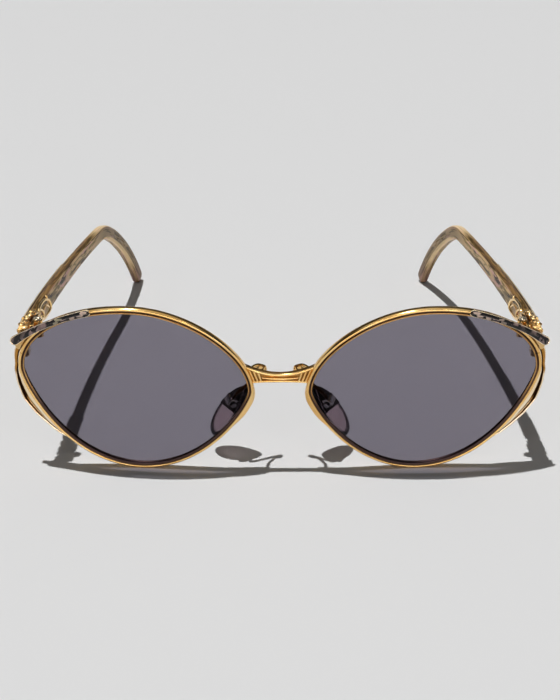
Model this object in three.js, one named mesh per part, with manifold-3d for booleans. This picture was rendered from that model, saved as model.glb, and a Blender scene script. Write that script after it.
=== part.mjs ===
// Oval metal sunglasses, open, standing on a table. Millimetres, +Z up, front towards -Y.
// One side is modelled for x > 0, the wearer's left, and mirrored for the right.
import * as THREE from "three";
import { mergeVertices } from "three/addons/utils/BufferGeometryUtils.js";
import Module from "manifold-3d";

const wasm = await Module();
wasm.setup();
const degrees = Math.PI / 180;

// Lens, in the boxing system: width, height and the gap between the two lenses
const lensWidth = 58.3;
const lensHeight = 46.9;
const lensGap = 15.7;
const lensThickness = 2;
const lensCurveRadius = 88;
const lensWrap = 3 * degrees;
const topShift = 0.6; // how far outward of the lens middle the highest point lies
const bottomShift = -0.2;
const nasalRise = 0; // heights of the innermost and outermost points above the lens middle
const temporalRise = 5.1;
// Share of each quarter's width or height that its end tangent takes, clockwise from the top
const tangentShare = {
  topNasal: 0.55, nasalTop: 0.415,
  nasalBottom: 0.15, bottomNasal: 0.58,
  bottomTemporal: 0.64, temporalBottom: 0.15,
  temporalTop: 0.5, topTemporal: 0.58,
};

// Eyewire
const wireWidth = 1.2;
const wireDepth = 1.9;
const grooveDepth = 0.5;
const grooveMouth = 1.3;
const splitShare = 0.791; // places as shares of the way round: 0 top, 0.25 nasal, 0.5 bottom, 0.75 temporal
const splitGap = 0.4;
const frontTilt = 5 * degrees; // top of the front leans forward on the table

// Fits
const solderGap = 0.25; // between pieces that are soldered or glued face to face
const runningGap = 0.1; // between pieces that turn on each other
const lensGroovePlay = 0.2;
const lensFaceInset = 0.45; // from the wire's inner edge to the edge of the lens faces

// Brow trim and outer arc
const browInnerShare = 0.948;
const browWidth = 1.6;
const browInnerWidth = 1.5;
const browThickness = 1;
const browArch = 1.3; // how far the trim bows above the straight line between its ends
const cornerReach = 1.95; // corner of the endpiece beyond the lens's outermost point
const cornerOverhang = 1.1; // how far it stands out past the temple
const cornerLift = 3.17; // its height above the rim's split
const shoulderLap = 0.6; // how far the endpiece's shoulder runs into its hinge block and lock boss
const arcLowerShare = 0.602;
const arcWidth = 3.05;
const arcEndWidth = 0.35;
const arcDepth = 1.6;

// Bridge
const bridgeCrown = 4.6; // height of its arch above the lens middle
const bridgeShoulderShare = 0.198; // places on the outline of its upper and lower corners
const bridgeFootShare = 0.232;
const bridgeThickness = 1.8;
const bridgeRailRadius = 0.62;
const bridgeFlutes = 3;
const fluteRadius = 0.34;
const fluteSpread = 2.6; // width of each fan at the lower rail

// Nose pads: where each pad's middle lies from the middle of the front, and how it is turned
const crescentWidth = 1;
const crescentEndWidth = 0.25;
const crescentStartShare = 0.246;
const crescentEndShare = 0.36;
const crescentThickness = 1.3;
const padMiddle = { out: 13.5, back: 10.4, rise: -9.8 };
const padSpread = 33.5 * degrees; // lower end outward
const padSplay = 28 * degrees; // rear edge outward
const padLength = 17.2;
const padWidth = 8.6;
const padThickness = 2.2;
const padLowerShare = 0.55; // share of its length below its middle
const padLowerSwell = 0.12; // how much wider it is below than above
const insertTop = 6.3; // upper and lower ends of the plate in the pad, from the pad's middle
const insertBottom = -2.7;
const insertWidth = 6.2;
const insertThickness = 0.5;
const padAxisHeight = 1.6; // pad screw above the pad's back
const padAxisRise = 2.6; // above its middle
const padAxisForward = 1.3; // and towards its front edge
const padLug = 1.5;
const padScrewRadius = 0.45;
const padBoxWall = 0.45;
const padArmRadius = 0.58;
const padArmBack = 4.4; // how far behind the wire its loop lies, and how far it swings towards the nose
const padArmSwing = 3.8;

// Hinge
const hingeStandoff = 3.71; // pin behind the front's curve at the endpiece's corner
const hingeDrop = 0.14; // and below that corner
const pinRadius = 0.6;
const knuckleRadius = 1.3;
const knuckleHeight = 1.4;
const knuckleLift = 0.8; // middle of the knuckles above the middle of the temple
const leafThickness = 0.85;
const leafLength = 3.4; // of the front's leaf, from the pin
const templeLeafLength = 5.4;
const hingeScrewHead = 1.05;
const hingeScrewHeadHeight = 0.5;
const slotWidth = 0.3;

// Rim lock
const lockStandoff = 0.4; // behind the back of the wire
const lockWidth = 2;
const lockDepth = 2.2;
const lockHeight = 2.4;
const lockScrewRadius = 0.5;
const lockScrewHead = 0.9;
const lockScrewHeadHeight = 0.6;

// Temple
const straightLength = 81.5; // pin to the start of the bend
const bendRadius = 24;
const bendAngle = 25.5 * degrees;
const tipLength = 43; // from the bend to the end, curving on more gently
const tipRadius = 74;
const bowRadius = 640; // the arm curves gently inward
const templeThickness = 3.1;
const templeHeight = 5.4;
const templeTipThickness = 2.8;
const templeTipHeight = 4;
const tipRounding = 3;
const ferruleBlock = 4.6;
const tongueLength = 16.5;
const tongueThickness = 0.5;
const tongueHeight = 3.8;
const coreThickness = 0.8;
const coreHeight = 2.1;
const coreTipMargin = 9;

// Derived places
const lensMiddle = lensGap / 2 + lensWidth / 2;
const templeInner = knuckleRadius + solderGap / 2; // temple's inner face, outward of the pin
const templeOuter = lensMiddle + lensWidth / 2 + cornerReach - cornerOverhang;
const hingeX = templeOuter - templeThickness - templeInner;
const templeMid = templeInner + templeThickness / 2;
const hingeHeight = knuckleHeight * 3 + runningGap * 2;

// The lens outline and the front's curve

const outlineX = (x) => lensMiddle + x;
const outlineQuarters = (() => {
  const top = new THREE.Vector2(outlineX(topShift), lensHeight / 2);
  const nasal = new THREE.Vector2(outlineX(-lensWidth / 2), nasalRise);
  const bottom = new THREE.Vector2(outlineX(bottomShift), -lensHeight / 2);
  const temporal = new THREE.Vector2(outlineX(lensWidth / 2), temporalRise);
  // From a level end to an upright end, or the other way round
  const quarter = (from, to, shareFrom, shareTo, fromLevel) => {
    const step = to.clone().sub(from);
    const along = fromLevel ? [step.x, 0, 0, step.y] : [0, step.y, step.x, 0];
    const leave = from.clone().add(new THREE.Vector2(along[0], along[1]).multiplyScalar(shareFrom));
    const arrive = to.clone().sub(new THREE.Vector2(along[2], along[3]).multiplyScalar(shareTo));
    return new THREE.CubicBezierCurve(from, leave, arrive, to);
  };
  return [
    quarter(top, nasal, tangentShare.topNasal, tangentShare.nasalTop, true),
    quarter(nasal, bottom, tangentShare.nasalBottom, tangentShare.bottomNasal, false),
    quarter(bottom, temporal, tangentShare.bottomTemporal, tangentShare.temporalBottom, true),
    quarter(temporal, top, tangentShare.temporalTop, tangentShare.topTemporal, false),
  ];
})();

// A point in the front's plane, off the lens edge by reach, at a place on the outline
function offOutline(place, reach) {
  const turn = (place - Math.floor(place)) * 4;
  const curve = outlineQuarters[Math.floor(turn) % 4];
  const point = curve.getPoint(turn % 1);
  const tangent = curve.getTangent(turn % 1);
  return new THREE.Vector2(point.x + tangent.y * reach, point.y - tangent.x * reach);
}

// How far the front's curve lies behind its foremost plane
function frontDepth(x, z) {
  const dx = x - lensMiddle;
  const sag = lensCurveRadius - Math.sqrt(lensCurveRadius ** 2 - dx * dx - z * z);
  return sag + Math.tan(lensWrap) * dx;
}

function onFront(flat, depth) {
  return new THREE.Vector3(flat.x, frontDepth(flat.x, flat.y) + depth, flat.y);
}

// Making and joining solids

// Turns a mesh's faces outward if they point in
function facingOut(geometry) {
  const flat = geometry.index ? geometry.toNonIndexed() : geometry;
  const p = flat.attributes.position;
  const a = new THREE.Vector3();
  const b = new THREE.Vector3();
  const c = new THREE.Vector3();
  let volume = 0;
  for (let i = 0; i < p.count; i += 3) {
    a.fromBufferAttribute(p, i);
    b.fromBufferAttribute(p, i + 1);
    c.fromBufferAttribute(p, i + 2);
    volume += a.dot(b.cross(c));
  }
  const out = new THREE.BufferGeometry().setAttribute("position", p.clone());
  if (volume < 0) {
    for (let i = 0; i < p.count; i += 3) {
      out.attributes.position.setXYZ(i, p.getX(i + 1), p.getY(i + 1), p.getZ(i + 1));
      out.attributes.position.setXYZ(i + 1, p.getX(i), p.getY(i), p.getZ(i));
    }
  }
  out.computeVertexNormals();
  return out;
}

function moved(geometry, place) {
  const p = geometry.attributes.position;
  for (let i = 0; i < p.count; i += 1) {
    const q = place(p.getX(i), p.getY(i), p.getZ(i));
    p.setXYZ(i, q.x, q.y, q.z);
  }
  return facingOut(geometry);
}

const shapeOf = (points) => new THREE.Shape(points.map(([u, v]) => new THREE.Vector2(u, v)));

// A bar of the given section, bent by place(u, v, t): u and v across it, t from 0 to 1 along it
function bentBar(section, steps, place) {
  const bar = new THREE.ExtrudeGeometry(shapeOf(section), { depth: 1, steps, bevelEnabled: false });
  return moved(bar, place);
}

// A disc whose profile runs from its axis out and back, bent by place(r, turn, d)
function bentDisc(profile, segments, place) {
  const disc = new THREE.LatheGeometry(profile.map(([r, d]) => new THREE.Vector2(r, d)), segments);
  return moved(disc, (x, d, z) => place(Math.hypot(x, z), Math.atan2(x, z) / (2 * Math.PI) + 1, d));
}

// A plate with the outline (y, z) between two values of x
function sidePlate(outline, fromX, toX) {
  const options = { depth: toX - fromX, bevelEnabled: false, curveSegments: 8 };
  return moved(new THREE.ExtrudeGeometry(outline, options), (u, v, w) => new THREE.Vector3(fromX + w, u, v));
}

function block(fromX, toX, fromY, toY, fromZ, toZ) {
  const box = new THREE.BoxGeometry(toX - fromX, toY - fromY, toZ - fromZ);
  return box.translate((fromX + toX) / 2, (fromY + toY) / 2, (fromZ + toZ) / 2);
}

function upright(radius, fromZ, toZ, sides = 20) {
  const rod = new THREE.CylinderGeometry(radius, radius, toZ - fromZ, sides);
  return rod.rotateX(Math.PI / 2).translate(0, 0, (fromZ + toZ) / 2);
}

function crosswise(radius, fromX, toX, sides = 16) {
  const rod = new THREE.CylinderGeometry(radius, radius, toX - fromX, sides);
  return rod.rotateZ(Math.PI / 2).translate((fromX + toX) / 2, 0, 0);
}

function wireAlong(points, radius, sides, steps) {
  const ring = Array.from({ length: sides }, (_, i) => {
    const turn = (i / sides) * 2 * Math.PI;
    return [radius * Math.cos(turn), radius * Math.sin(turn)];
  });
  const path = new THREE.CatmullRomCurve3(points);
  const options = { steps, extrudePath: path, bevelEnabled: false };
  return facingOut(new THREE.ExtrudeGeometry(shapeOf(ring), options));
}

function solidOf(geometry) {
  const bare = new THREE.BufferGeometry().setAttribute(
    "position", (geometry.index ? geometry.toNonIndexed() : geometry).attributes.position,
  );
  const merged = mergeVertices(bare, 1e-4);
  return new wasm.Manifold(new wasm.Mesh({
    numProp: 3,
    vertProperties: merged.attributes.position.array,
    triVerts: new Uint32Array(merged.index.array),
  }));
}

function geometryOf(solid) {
  const mesh = solid.getMesh();
  const geometry = new THREE.BufferGeometry();
  geometry.setAttribute("position", new THREE.BufferAttribute(mesh.vertProperties, 3));
  geometry.setIndex(new THREE.BufferAttribute(mesh.triVerts, 1));
  geometry.computeVertexNormals();
  return geometry;
}

const joined = (...pieces) => geometryOf(pieces.map(solidOf).reduce((a, b) => a.add(b)));

function cut(piece, ...tools) {
  return geometryOf(tools.map(solidOf).reduce((rest, tool) => rest.subtract(tool), solidOf(piece)));
}

// The front: eyewire, lens, trims and bridge

function eyewire() {
  const d = wireDepth / 2;
  const section = [
    [0, -d], [0.7 * wireWidth, -d], [wireWidth, -0.5 * d], [wireWidth, 0.5 * d], [0.7 * wireWidth, d],
    [0, d], [0, grooveMouth / 2], [grooveDepth, 0], [0, -grooveMouth / 2],
  ];
  const perimeter = Math.PI * (lensWidth + lensHeight) / 2;
  const gapShare = splitGap / perimeter;
  return bentBar(section, 56, (r, depth, t) =>
    onFront(offOutline(splitShare + gapShare / 2 + t * (1 - gapShare), r), depth));
}

function lens() {
  const half = lensThickness / 2;
  const bevel = grooveDepth - lensGroovePlay;
  const rings = [0, 0.35, 0.7, 1];
  const profile = [
    ...rings.map((r) => [r, -half]),
    [2, 0], // stands for the tip of the bevel
    ...rings.map((r) => [r, half]).reverse(),
  ];
  return bentDisc(profile, 56, (r, turn, d) => {
    const rim = offOutline(splitShare + turn, r > 1.5 ? bevel : -lensFaceInset);
    const share = Math.min(r, 1);
    const flat = new THREE.Vector2(lensMiddle + (rim.x - lensMiddle) * share, rim.y * share);
    return onFront(flat, d);
  });
}

// From the inner end, over the upper rim, to the endpiece's corner
const browPath = new THREE.QuadraticBezierCurve(
  offOutline(browInnerShare, wireWidth * 0.8),
  new THREE.Vector2(),
  new THREE.Vector2(lensMiddle + lensWidth / 2 + cornerReach, offOutline(splitShare, 0).y + cornerLift),
);
browPath.v1.addVectors(browPath.v0, browPath.v2).multiplyScalar(0.5);
browPath.v1.add(
  new THREE.Vector2(browPath.v0.y - browPath.v2.y, browPath.v2.x - browPath.v0.x).setLength(2 * browArch),
);

function browTrim() {
  const section = [[-0.5, 0], [-0.5, -0.35], [-0.25, -0.9], [0, -1], [0.25, -0.9], [0.5, -0.35], [0.5, 0]];
  const rear = -wireDepth / 2 - solderGap;
  return bentBar(section, 18, (across, thick, t) => {
    const point = browPath.getPoint(t);
    const tangent = browPath.getTangent(t);
    const width = THREE.MathUtils.lerp(browInnerWidth, browWidth, Math.min(1, t * 2));
    const off = across * width;
    const flat = new THREE.Vector2(point.x - tangent.y * off, point.y + tangent.x * off);
    return onFront(flat, rear + thick * browThickness);
  });
}

function outerArc() {
  const d = arcDepth / 2;
  const section = [[0, -0.7 * d], [0.3, -d], [0.65, -0.9 * d], [1, -0.35 * d], [1, 0.6 * d], [0, d]];
  const upperEnd = splitShare - 0.009;
  return bentBar(section, 24, (across, depth, t) => {
    const swell = 0.3 + 0.7 * Math.sin(Math.PI * t ** 1.5) ** 2; // widest past the middle
    const width = Math.max(arcEndWidth, arcWidth * swell * (1 - t ** 16));
    const place = THREE.MathUtils.lerp(upperEnd, arcLowerShare, t);
    return onFront(offOutline(place, wireWidth + solderGap + across * width), depth);
  });
}

// The flat crescent on the nose side of the wire, which stiffens it where the pad is carried
function crescent() {
  const d = crescentThickness / 2;
  const section = [[0, -d], [0.6, -d], [1, -0.4 * d], [1, 0.4 * d], [0.6, d], [0, d]];
  return bentBar(section, 16, (across, depth, t) => {
    const swell = Math.sin(Math.PI * t ** 0.7); // widest before the middle
    const width = THREE.MathUtils.lerp(crescentEndWidth, crescentWidth, swell);
    const place = THREE.MathUtils.lerp(crescentStartShare, crescentEndShare, t);
    return onFront(offOutline(place, wireWidth + solderGap + across * width), depth);
  });
}

// Between the wires: a web, an arched rail above, a straight rail below and flutes that fan along each wire
function bridge() {
  const reach = wireWidth + solderGap;
  const ends = Array.from({ length: 6 }, (_, i) =>
    offOutline(THREE.MathUtils.lerp(bridgeShoulderShare, bridgeFootShare, i / 5), reach));
  const upper = ends[0];
  const lower = ends[5];
  const middleDepth = frontDepth(lower.x, lower.y);
  const rear = middleDepth + bridgeThickness / 2;
  const crown = new THREE.Vector2(0, 2 * bridgeCrown - upper.y); // control point of the arch
  const outline = new THREE.Shape();
  outline.moveTo(-lower.x, lower.y);
  outline.lineTo(lower.x, lower.y);
  [...ends].reverse().forEach((p) => outline.lineTo(p.x, p.y));
  outline.quadraticCurveTo(crown.x, crown.y, -upper.x, upper.y);
  ends.forEach((p) => outline.lineTo(-p.x, p.y));
  const webOptions = { depth: bridgeThickness * 0.6, bevelEnabled: false, curveSegments: 10 };
  const web = moved(
    new THREE.ExtrudeGeometry(outline, webOptions),
    (u, v, w) => new THREE.Vector3(u, rear - w, v),
  );
  const railFront = rear - bridgeThickness + bridgeRailRadius;
  const inset = bridgeRailRadius + solderGap;
  const arch = new THREE.QuadraticBezierCurve(upper, crown, new THREE.Vector2(-upper.x, upper.y));
  const archRail = wireAlong(
    arch.getPoints(10).slice(1, -1).map((p) => new THREE.Vector3(p.x, railFront, p.y - bridgeRailRadius)),
    bridgeRailRadius, 8, 14,
  );
  const footRail = wireAlong(
    [-1, 0, 1].map((s) => new THREE.Vector3(s * (lower.x - inset), railFront, lower.y + bridgeRailRadius)),
    bridgeRailRadius, 8, 4,
  );
  const flutes = [];
  for (const side of [-1, 1]) {
    for (let i = 0; i < bridgeFlutes; i += 1) {
      const share = (i + 0.75) / (bridgeFlutes + 1);
      const foot = new THREE.Vector2(lower.x - inset - share * fluteSpread, lower.y + bridgeRailRadius);
      const head = arch.getPoint(0.06 + share * 0.2);
      flutes.push(wireAlong(
        [0.05, 0.5, 0.85].map((t) => new THREE.Vector3(
          side * THREE.MathUtils.lerp(foot.x, head.x, t), railFront + 0.2,
          THREE.MathUtils.lerp(foot.y, head.y, t))),
        fluteRadius, 6, 3,
      ));
    }
  }
  return joined(web, archRail, footRail, ...flutes);
}

// Nose pads, in the pad's own frame: x across the pad, y away from the nose, z up the pad

const padFrame = (() => {
  const up = new THREE.Vector3(-Math.sin(padSpread), 0, Math.cos(padSpread));
  const forward = new THREE.Vector3(-Math.sin(padSplay), -Math.cos(padSplay), 0);
  const away = new THREE.Vector3().crossVectors(up, forward).normalize();
  forward.crossVectors(away, up);
  const middle = new THREE.Vector3(padMiddle.out, padMiddle.back, padMiddle.rise);
  return new THREE.Matrix4().makeBasis(forward, away, up).setPosition(middle);
})();

function nosePad() {
  const profile = [[0, 0], [0.85, 0], [1, -0.45], [0.9, -0.8], [0.55, -0.95], [0, -1]];
  return bentDisc(profile, 24, (r, turn, d) => {
    const angle = turn * 2 * Math.PI;
    const up = Math.cos(angle);
    const reach = padLength * (up < 0 ? padLowerShare : 1 - padLowerShare);
    const half = (padWidth / 2) * (1 - padLowerSwell * up);
    return new THREE.Vector3(r * Math.sin(angle) * half, d * padThickness, r * up * reach);
  });
}

const padBore = () => crosswise(padScrewRadius + runningGap, -padWidth / 2, padWidth / 2)
  .translate(padAxisForward, padAxisHeight, padAxisRise);

// The plate and lug that the pad is moulded on: round above, cut straight below
function padInsert() {
  const floor = runningGap;
  const w = insertWidth / 2;
  const outline = new THREE.Shape();
  outline.moveTo(-w, insertBottom);
  outline.lineTo(w, insertBottom);
  outline.lineTo(w, insertTop - w);
  outline.quadraticCurveTo(w, insertTop, 0, insertTop);
  outline.quadraticCurveTo(-w, insertTop, -w, insertTop - w);
  const options = { depth: insertThickness, bevelEnabled: false, curveSegments: 6 };
  const plate = moved(
    new THREE.ExtrudeGeometry(outline, options), (u, v, d) => new THREE.Vector3(u, floor + d, v),
  );
  const half = padLug / 2;
  const x = padAxisForward;
  const z = padAxisRise;
  const lug = block(x - half, x + half, floor, padAxisHeight + half, z - half, z + half);
  return cut(joined(plate, lug), padBore());
}

const padBoxInside = padLug / 2 + runningGap;
const padBoxReach = Math.hypot(padLug / 2, padLug / 2) + runningGap;

// The little box on the arm that holds the lug, open towards the pad and below
function padBox() {
  const outside = padBoxInside + padBoxWall;
  const low = padLug / 2 - runningGap;
  const x = padAxisForward;
  const top = padAxisHeight + padBoxReach;
  const end = padAxisRise + padBoxReach;
  const shell = block(
    x - outside, x + outside, padAxisHeight - low, top + padBoxWall, padAxisRise - low, end + padBoxWall,
  );
  const room = block(x - padBoxInside, x + padBoxInside, 0, top, 0, end);
  return cut(shell, room, padBore());
}

function padScrew() {
  const outside = padBoxInside + padBoxWall;
  const headFrom = outside + runningGap;
  const head = crosswise(padScrewRadius * 1.8, headFrom, headFrom + padScrewRadius);
  const shank = crosswise(padScrewRadius, -outside, headFrom + padScrewRadius / 2);
  return joined(head, shank).translate(padAxisForward, padAxisHeight, padAxisRise);
}

// A gooseneck from the back of the wire, towards the nose, and down to the pad's box
function padArm() {
  const root = onFront(offOutline(bridgeShoulderShare + 0.02, wireWidth / 2), wireDepth / 2 + 2 * solderGap);
  const boxEnd = padAxisRise + padBoxReach + padBoxWall + solderGap;
  const onPad = (x, y, z) => new THREE.Vector3(padAxisForward + x, y, z).applyMatrix4(padFrame);
  const offRoot = (swing, back, drop) => new THREE.Vector3(
    root.x - swing * padArmSwing, root.y + back * padArmBack, root.z - drop,
  );
  return wireAlong([
    root,
    offRoot(0.1, 0.45, 0.2),
    offRoot(0.53, 1, 0.4),
    offRoot(1, 1.18, 1.2),
    offRoot(0.84, 1.23, 3),
    onPad(1, padAxisHeight + 1, boxEnd + 2.6),
    onPad(0.1, padAxisHeight + 0.4, boxEnd + 1.2),
    onPad(0, padAxisHeight + 0.3, boxEnd),
  ], padArmRadius, 8, 24);
}

// Hinge, endpiece and temple, in the hinge's frame: x outward, y back along the temple, z up the pin

// A leaf with every other knuckle from the first, and its plate between two distances behind the pin
function knuckles(first, plateFrom, plateTo) {
  const pitch = knuckleHeight + runningGap;
  const bottom = knuckleLift - hingeHeight / 2;
  const top = bottom + hingeHeight;
  const towards = Math.sign(plateFrom + plateTo);
  const plateX = [templeInner - solderGap / 2 - leafThickness, templeInner - solderGap / 2];
  const pieces = [block(...plateX, plateFrom, plateTo, bottom, top)];
  for (let i = first; i < 3; i += 2) {
    const from = bottom + i * pitch;
    const neck = [0, towards * knuckleRadius * 1.4].sort((a, b) => a - b);
    pieces.push(upright(knuckleRadius, from, from + knuckleHeight));
    pieces.push(block(...plateX, ...neck, from, from + knuckleHeight));
  }
  return cut(joined(...pieces), upright(pinRadius + runningGap, bottom - 1, top + 1));
}

const hingeFrontLeaf = () => knuckles(0, -leafLength, -knuckleRadius * 1.2);
const hingeTempleLeaf = () => knuckles(1, knuckleRadius * 1.2, templeLeafLength);

function slottedScrew(shankRadius, shankFrom, shankTo, headRadius, headHeight) {
  const headFrom = shankTo + runningGap;
  const body = joined(
    upright(shankRadius, shankFrom, headFrom + headHeight / 2, 16),
    upright(headRadius, headFrom, headFrom + headHeight, 16),
  );
  const slot = block(-2 * headRadius, 2 * headRadius, -slotWidth / 2, slotWidth / 2,
    headFrom + headHeight * 0.5, headFrom + headHeight * 2);
  return cut(body, slot);
}

function hingeScrew() {
  const bottom = knuckleLift - hingeHeight / 2;
  return slottedScrew(pinRadius, bottom, bottom + hingeHeight, hingeScrewHead, hingeScrewHeadHeight);
}

const bendEnd = straightLength + bendRadius * bendAngle;
const armLength = bendEnd + tipLength;

// Half an arm's section is 1 wide and 1 high, with its corners taken off
const armSection = [
  [-1, -0.68], [-0.68, -1], [0.68, -1], [1, -0.68], [1, 0.68], [0.68, 1], [-0.68, 1], [-1, 0.68],
];

// A straight length of the arm at the hinge
function armBlock(from, to) {
  return bentBar(armSection, 1, (u, v, t) => new THREE.Vector3(
    templeMid + (u * templeThickness) / 2, THREE.MathUtils.lerp(from, to, t), (v * templeHeight) / 2,
  ));
}

// How far the arm has curved inward at a distance behind the pin
const bowAt = (y) => (y * y) / (2 * bowRadius);

// A point of the arm: across and up from its centre line, at a length from the pin
function onArm(across, up, length) {
  const bend = THREE.MathUtils.clamp((length - straightLength) / bendRadius, 0, bendAngle);
  const drop = bend + Math.max(0, length - bendEnd) / tipRadius;
  const along = Math.min(length, straightLength) + bendRadius * Math.sin(bend)
    + tipRadius * (Math.sin(drop) - Math.sin(bend));
  const down = bendRadius * (1 - Math.cos(bend)) + tipRadius * (Math.cos(bend) - Math.cos(drop));
  const y = along + up * Math.sin(drop);
  const z = up * Math.cos(drop) - down;
  return new THREE.Vector3(templeMid + across - bowAt(y), y, z);
}

function bowed(geometry) {
  return moved(geometry, (x, y, z) => new THREE.Vector3(x - bowAt(y), y, z));
}

const sleeveStart = ferruleBlock + solderGap;
const tongueEnd = ferruleBlock + tongueLength;

// Lengths at which the arm's surface is set out: far apart on the straight, close round the bend
function armStops(from, to) {
  const share = (a, b, count) => Array.from({ length: count }, (_, i) => a + ((b - a) * i) / count);
  return [
    ...share(from, straightLength, 6), ...share(straightLength, bendEnd, 4), ...share(bendEnd, to, 6), to,
  ];
}

function armSize(length) {
  const share = THREE.MathUtils.clamp((length - tongueEnd) / (armLength - tongueEnd), 0, 1);
  return {
    thickness: THREE.MathUtils.lerp(templeThickness, templeTipThickness, share),
    height: THREE.MathUtils.lerp(templeHeight, templeTipHeight, share),
  };
}

// The plastic arm: thin between the ferrule's tongues, full behind them, rounded at the tip, bored inside
function templeSleeve() {
  const forkRoom = templeThickness - 2 * (tongueThickness + solderGap);
  const stepAt = tongueEnd + solderGap;
  const stepLength = 0.2;
  const roundingStart = armLength - tipRounding;
  const stops = [
    sleeveStart, stepAt, stepAt + stepLength,
    ...armStops(tongueEnd + tongueLength / 2, roundingStart - tipRounding / 2),
    ...Array.from({ length: 5 }, (_, i) => roundingStart + tipRounding * Math.sin((i / 4) * 1.45)),
  ];
  const arm = bentBar(armSection, stops.length - 1, (u, v, t) => {
    const length = stops[Math.round(t * (stops.length - 1))];
    const size = armSize(length);
    const rounded = Math.sqrt(1 - (Math.max(0, length - roundingStart) / tipRounding) ** 2);
    const thickness = length < stepAt + stepLength ? forkRoom : size.thickness;
    return onArm((u * thickness * rounded) / 2, (v * size.height * rounded) / 2, length);
  });
  return cut(arm, coreBar(2 * runningGap, 0, coreTipMargin - solderGap));
}

function coreBar(grow, start, margin) {
  const a = coreThickness / 2 + grow;
  const b = coreHeight / 2 + grow;
  const stops = [start, ...armStops(tongueEnd, armLength - margin - coreHeight), armLength - margin];
  return bentBar([[-a, -b], [a, -b], [a, b], [-a, b]], stops.length - 1, (u, v, t) =>
    onArm(u, v, stops[Math.round(t * (stops.length - 1))]));
}

const templeCore = () => coreBar(0, ferruleBlock + runningGap, coreTipMargin);

// A leaf-shaped outline in the side view, from one length to another
function leafOutline(from, to, height) {
  const h = height / 2;
  const outline = new THREE.Shape();
  outline.moveTo(from, -h);
  outline.lineTo(to - h * 1.4, -h);
  outline.quadraticCurveTo(to, -h * 0.9, to, 0);
  outline.quadraticCurveTo(to, h * 0.9, to - h * 1.4, h);
  outline.lineTo(from, h);
  outline.closePath();
  return outline;
}

// The metal fork at the head of the temple: a block at the hinge and a tongue on each side of the sleeve
function ferrule() {
  const outer = templeInner + templeThickness;
  const head = armBlock(runningGap, ferruleBlock);
  const tongue = leafOutline(ferruleBlock - tongueThickness, tongueEnd, tongueHeight);
  return bowed(joined(
    head,
    sidePlate(tongue, templeInner, templeInner + tongueThickness),
    sidePlate(tongue, outer - tongueThickness, outer),
  ));
}

const hingePoint = onFront(browPath.v2, hingeStandoff).setX(hingeX);
hingePoint.z -= hingeDrop;

// In the front's frame, outside the wire: the shoulder under the brow trim that carries the hinge block
function endpieceShoulder(frontToHinge) {
  const reach = wireWidth + solderGap;
  const corner = browPath.v2;
  const rimSide = Array.from({ length: 9 }, (_, i) => offOutline(splitShare + 0.003 + i * 0.007, reach))
    .filter((p) => p.x > hingeX + templeInner);
  const outline = new THREE.Shape();
  outline.moveTo(rimSide[0].x, rimSide[0].y);
  outline.lineTo(corner.x - cornerOverhang, rimSide[0].y);
  outline.lineTo(corner.x, corner.y - browWidth / 2);
  outline.lineTo(corner.x, corner.y);
  [...rimSide].reverse().forEach((p) => outline.lineTo(p.x, p.y));
  const rear = frontToHinge + shoulderLap;
  return moved(
    new THREE.ExtrudeGeometry(outline, { depth: 1, bevelEnabled: false }),
    (u, v, w) => new THREE.Vector3(u, THREE.MathUtils.lerp(frontDepth(u, v) - wireDepth / 2, rear, w), v),
  );
}

// The rim lock, in the front's frame: a boss under the endpiece and a block on the wire's lower end
const lockMiddle = (() => {
  const wire = onFront(offOutline(splitShare, wireWidth / 2), wireDepth / 2 + solderGap);
  return new THREE.Vector3(wire.x, wire.y + lockStandoff + lockDepth / 2, wire.z);
})();

function lockBlock(fromZ, toZ) {
  const { x, y, z } = lockMiddle;
  const w = lockWidth / 2;
  const d = lockDepth / 2;
  return block(x - w, x + w, y - d, y + d, z + fromZ, z + toZ);
}

const lockBore = () => upright(lockScrewRadius + runningGap, -2 * lockHeight, lockHeight, 16)
  .translate(lockMiddle.x, lockMiddle.y, lockMiddle.z);

const closingBlock = () => cut(lockBlock(-lockHeight, -splitGap / 2), lockBore());

function closingScrew() {
  const end = -lockHeight * 0.8;
  return slottedScrew(lockScrewRadius, end, lockHeight, lockScrewHead, lockScrewHeadHeight)
    .rotateX(Math.PI).translate(lockMiddle.x, lockMiddle.y, lockMiddle.z);
}

function endpiece(hingeMatrix, frontMatrix) {
  const outer = templeInner + templeThickness;
  const hingeBlock = armBlock(-leafLength, -runningGap);
  const toFront = frontMatrix.clone().invert().multiply(hingeMatrix);
  hingeBlock.applyMatrix4(toFront);
  const start = new THREE.Vector3(outer, -leafLength, 0).applyMatrix4(toFront).y;
  const boss = lockBlock(splitGap / 2, lockHeight + shoulderLap);
  return cut(joined(hingeBlock, endpieceShoulder(start), boss), lockBore());
}

// Assembly

const gold = { color: 0xd2a24c, roughness: 0.22, metalness: 1 };
const steel = { color: 0xb9b4a8, roughness: 0.3, metalness: 1 };
const enamel = { color: 0x5a4434, roughness: 0.25, metalness: 0.1 };
const tint = { color: 0x6b6a72, roughness: 0.05, metalness: 0 };
const pearl = { color: 0xb79a6c, roughness: 0.25, metalness: 0 };
const silicone = { color: 0xd9c6bd, roughness: 0.3, metalness: 0 };

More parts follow.
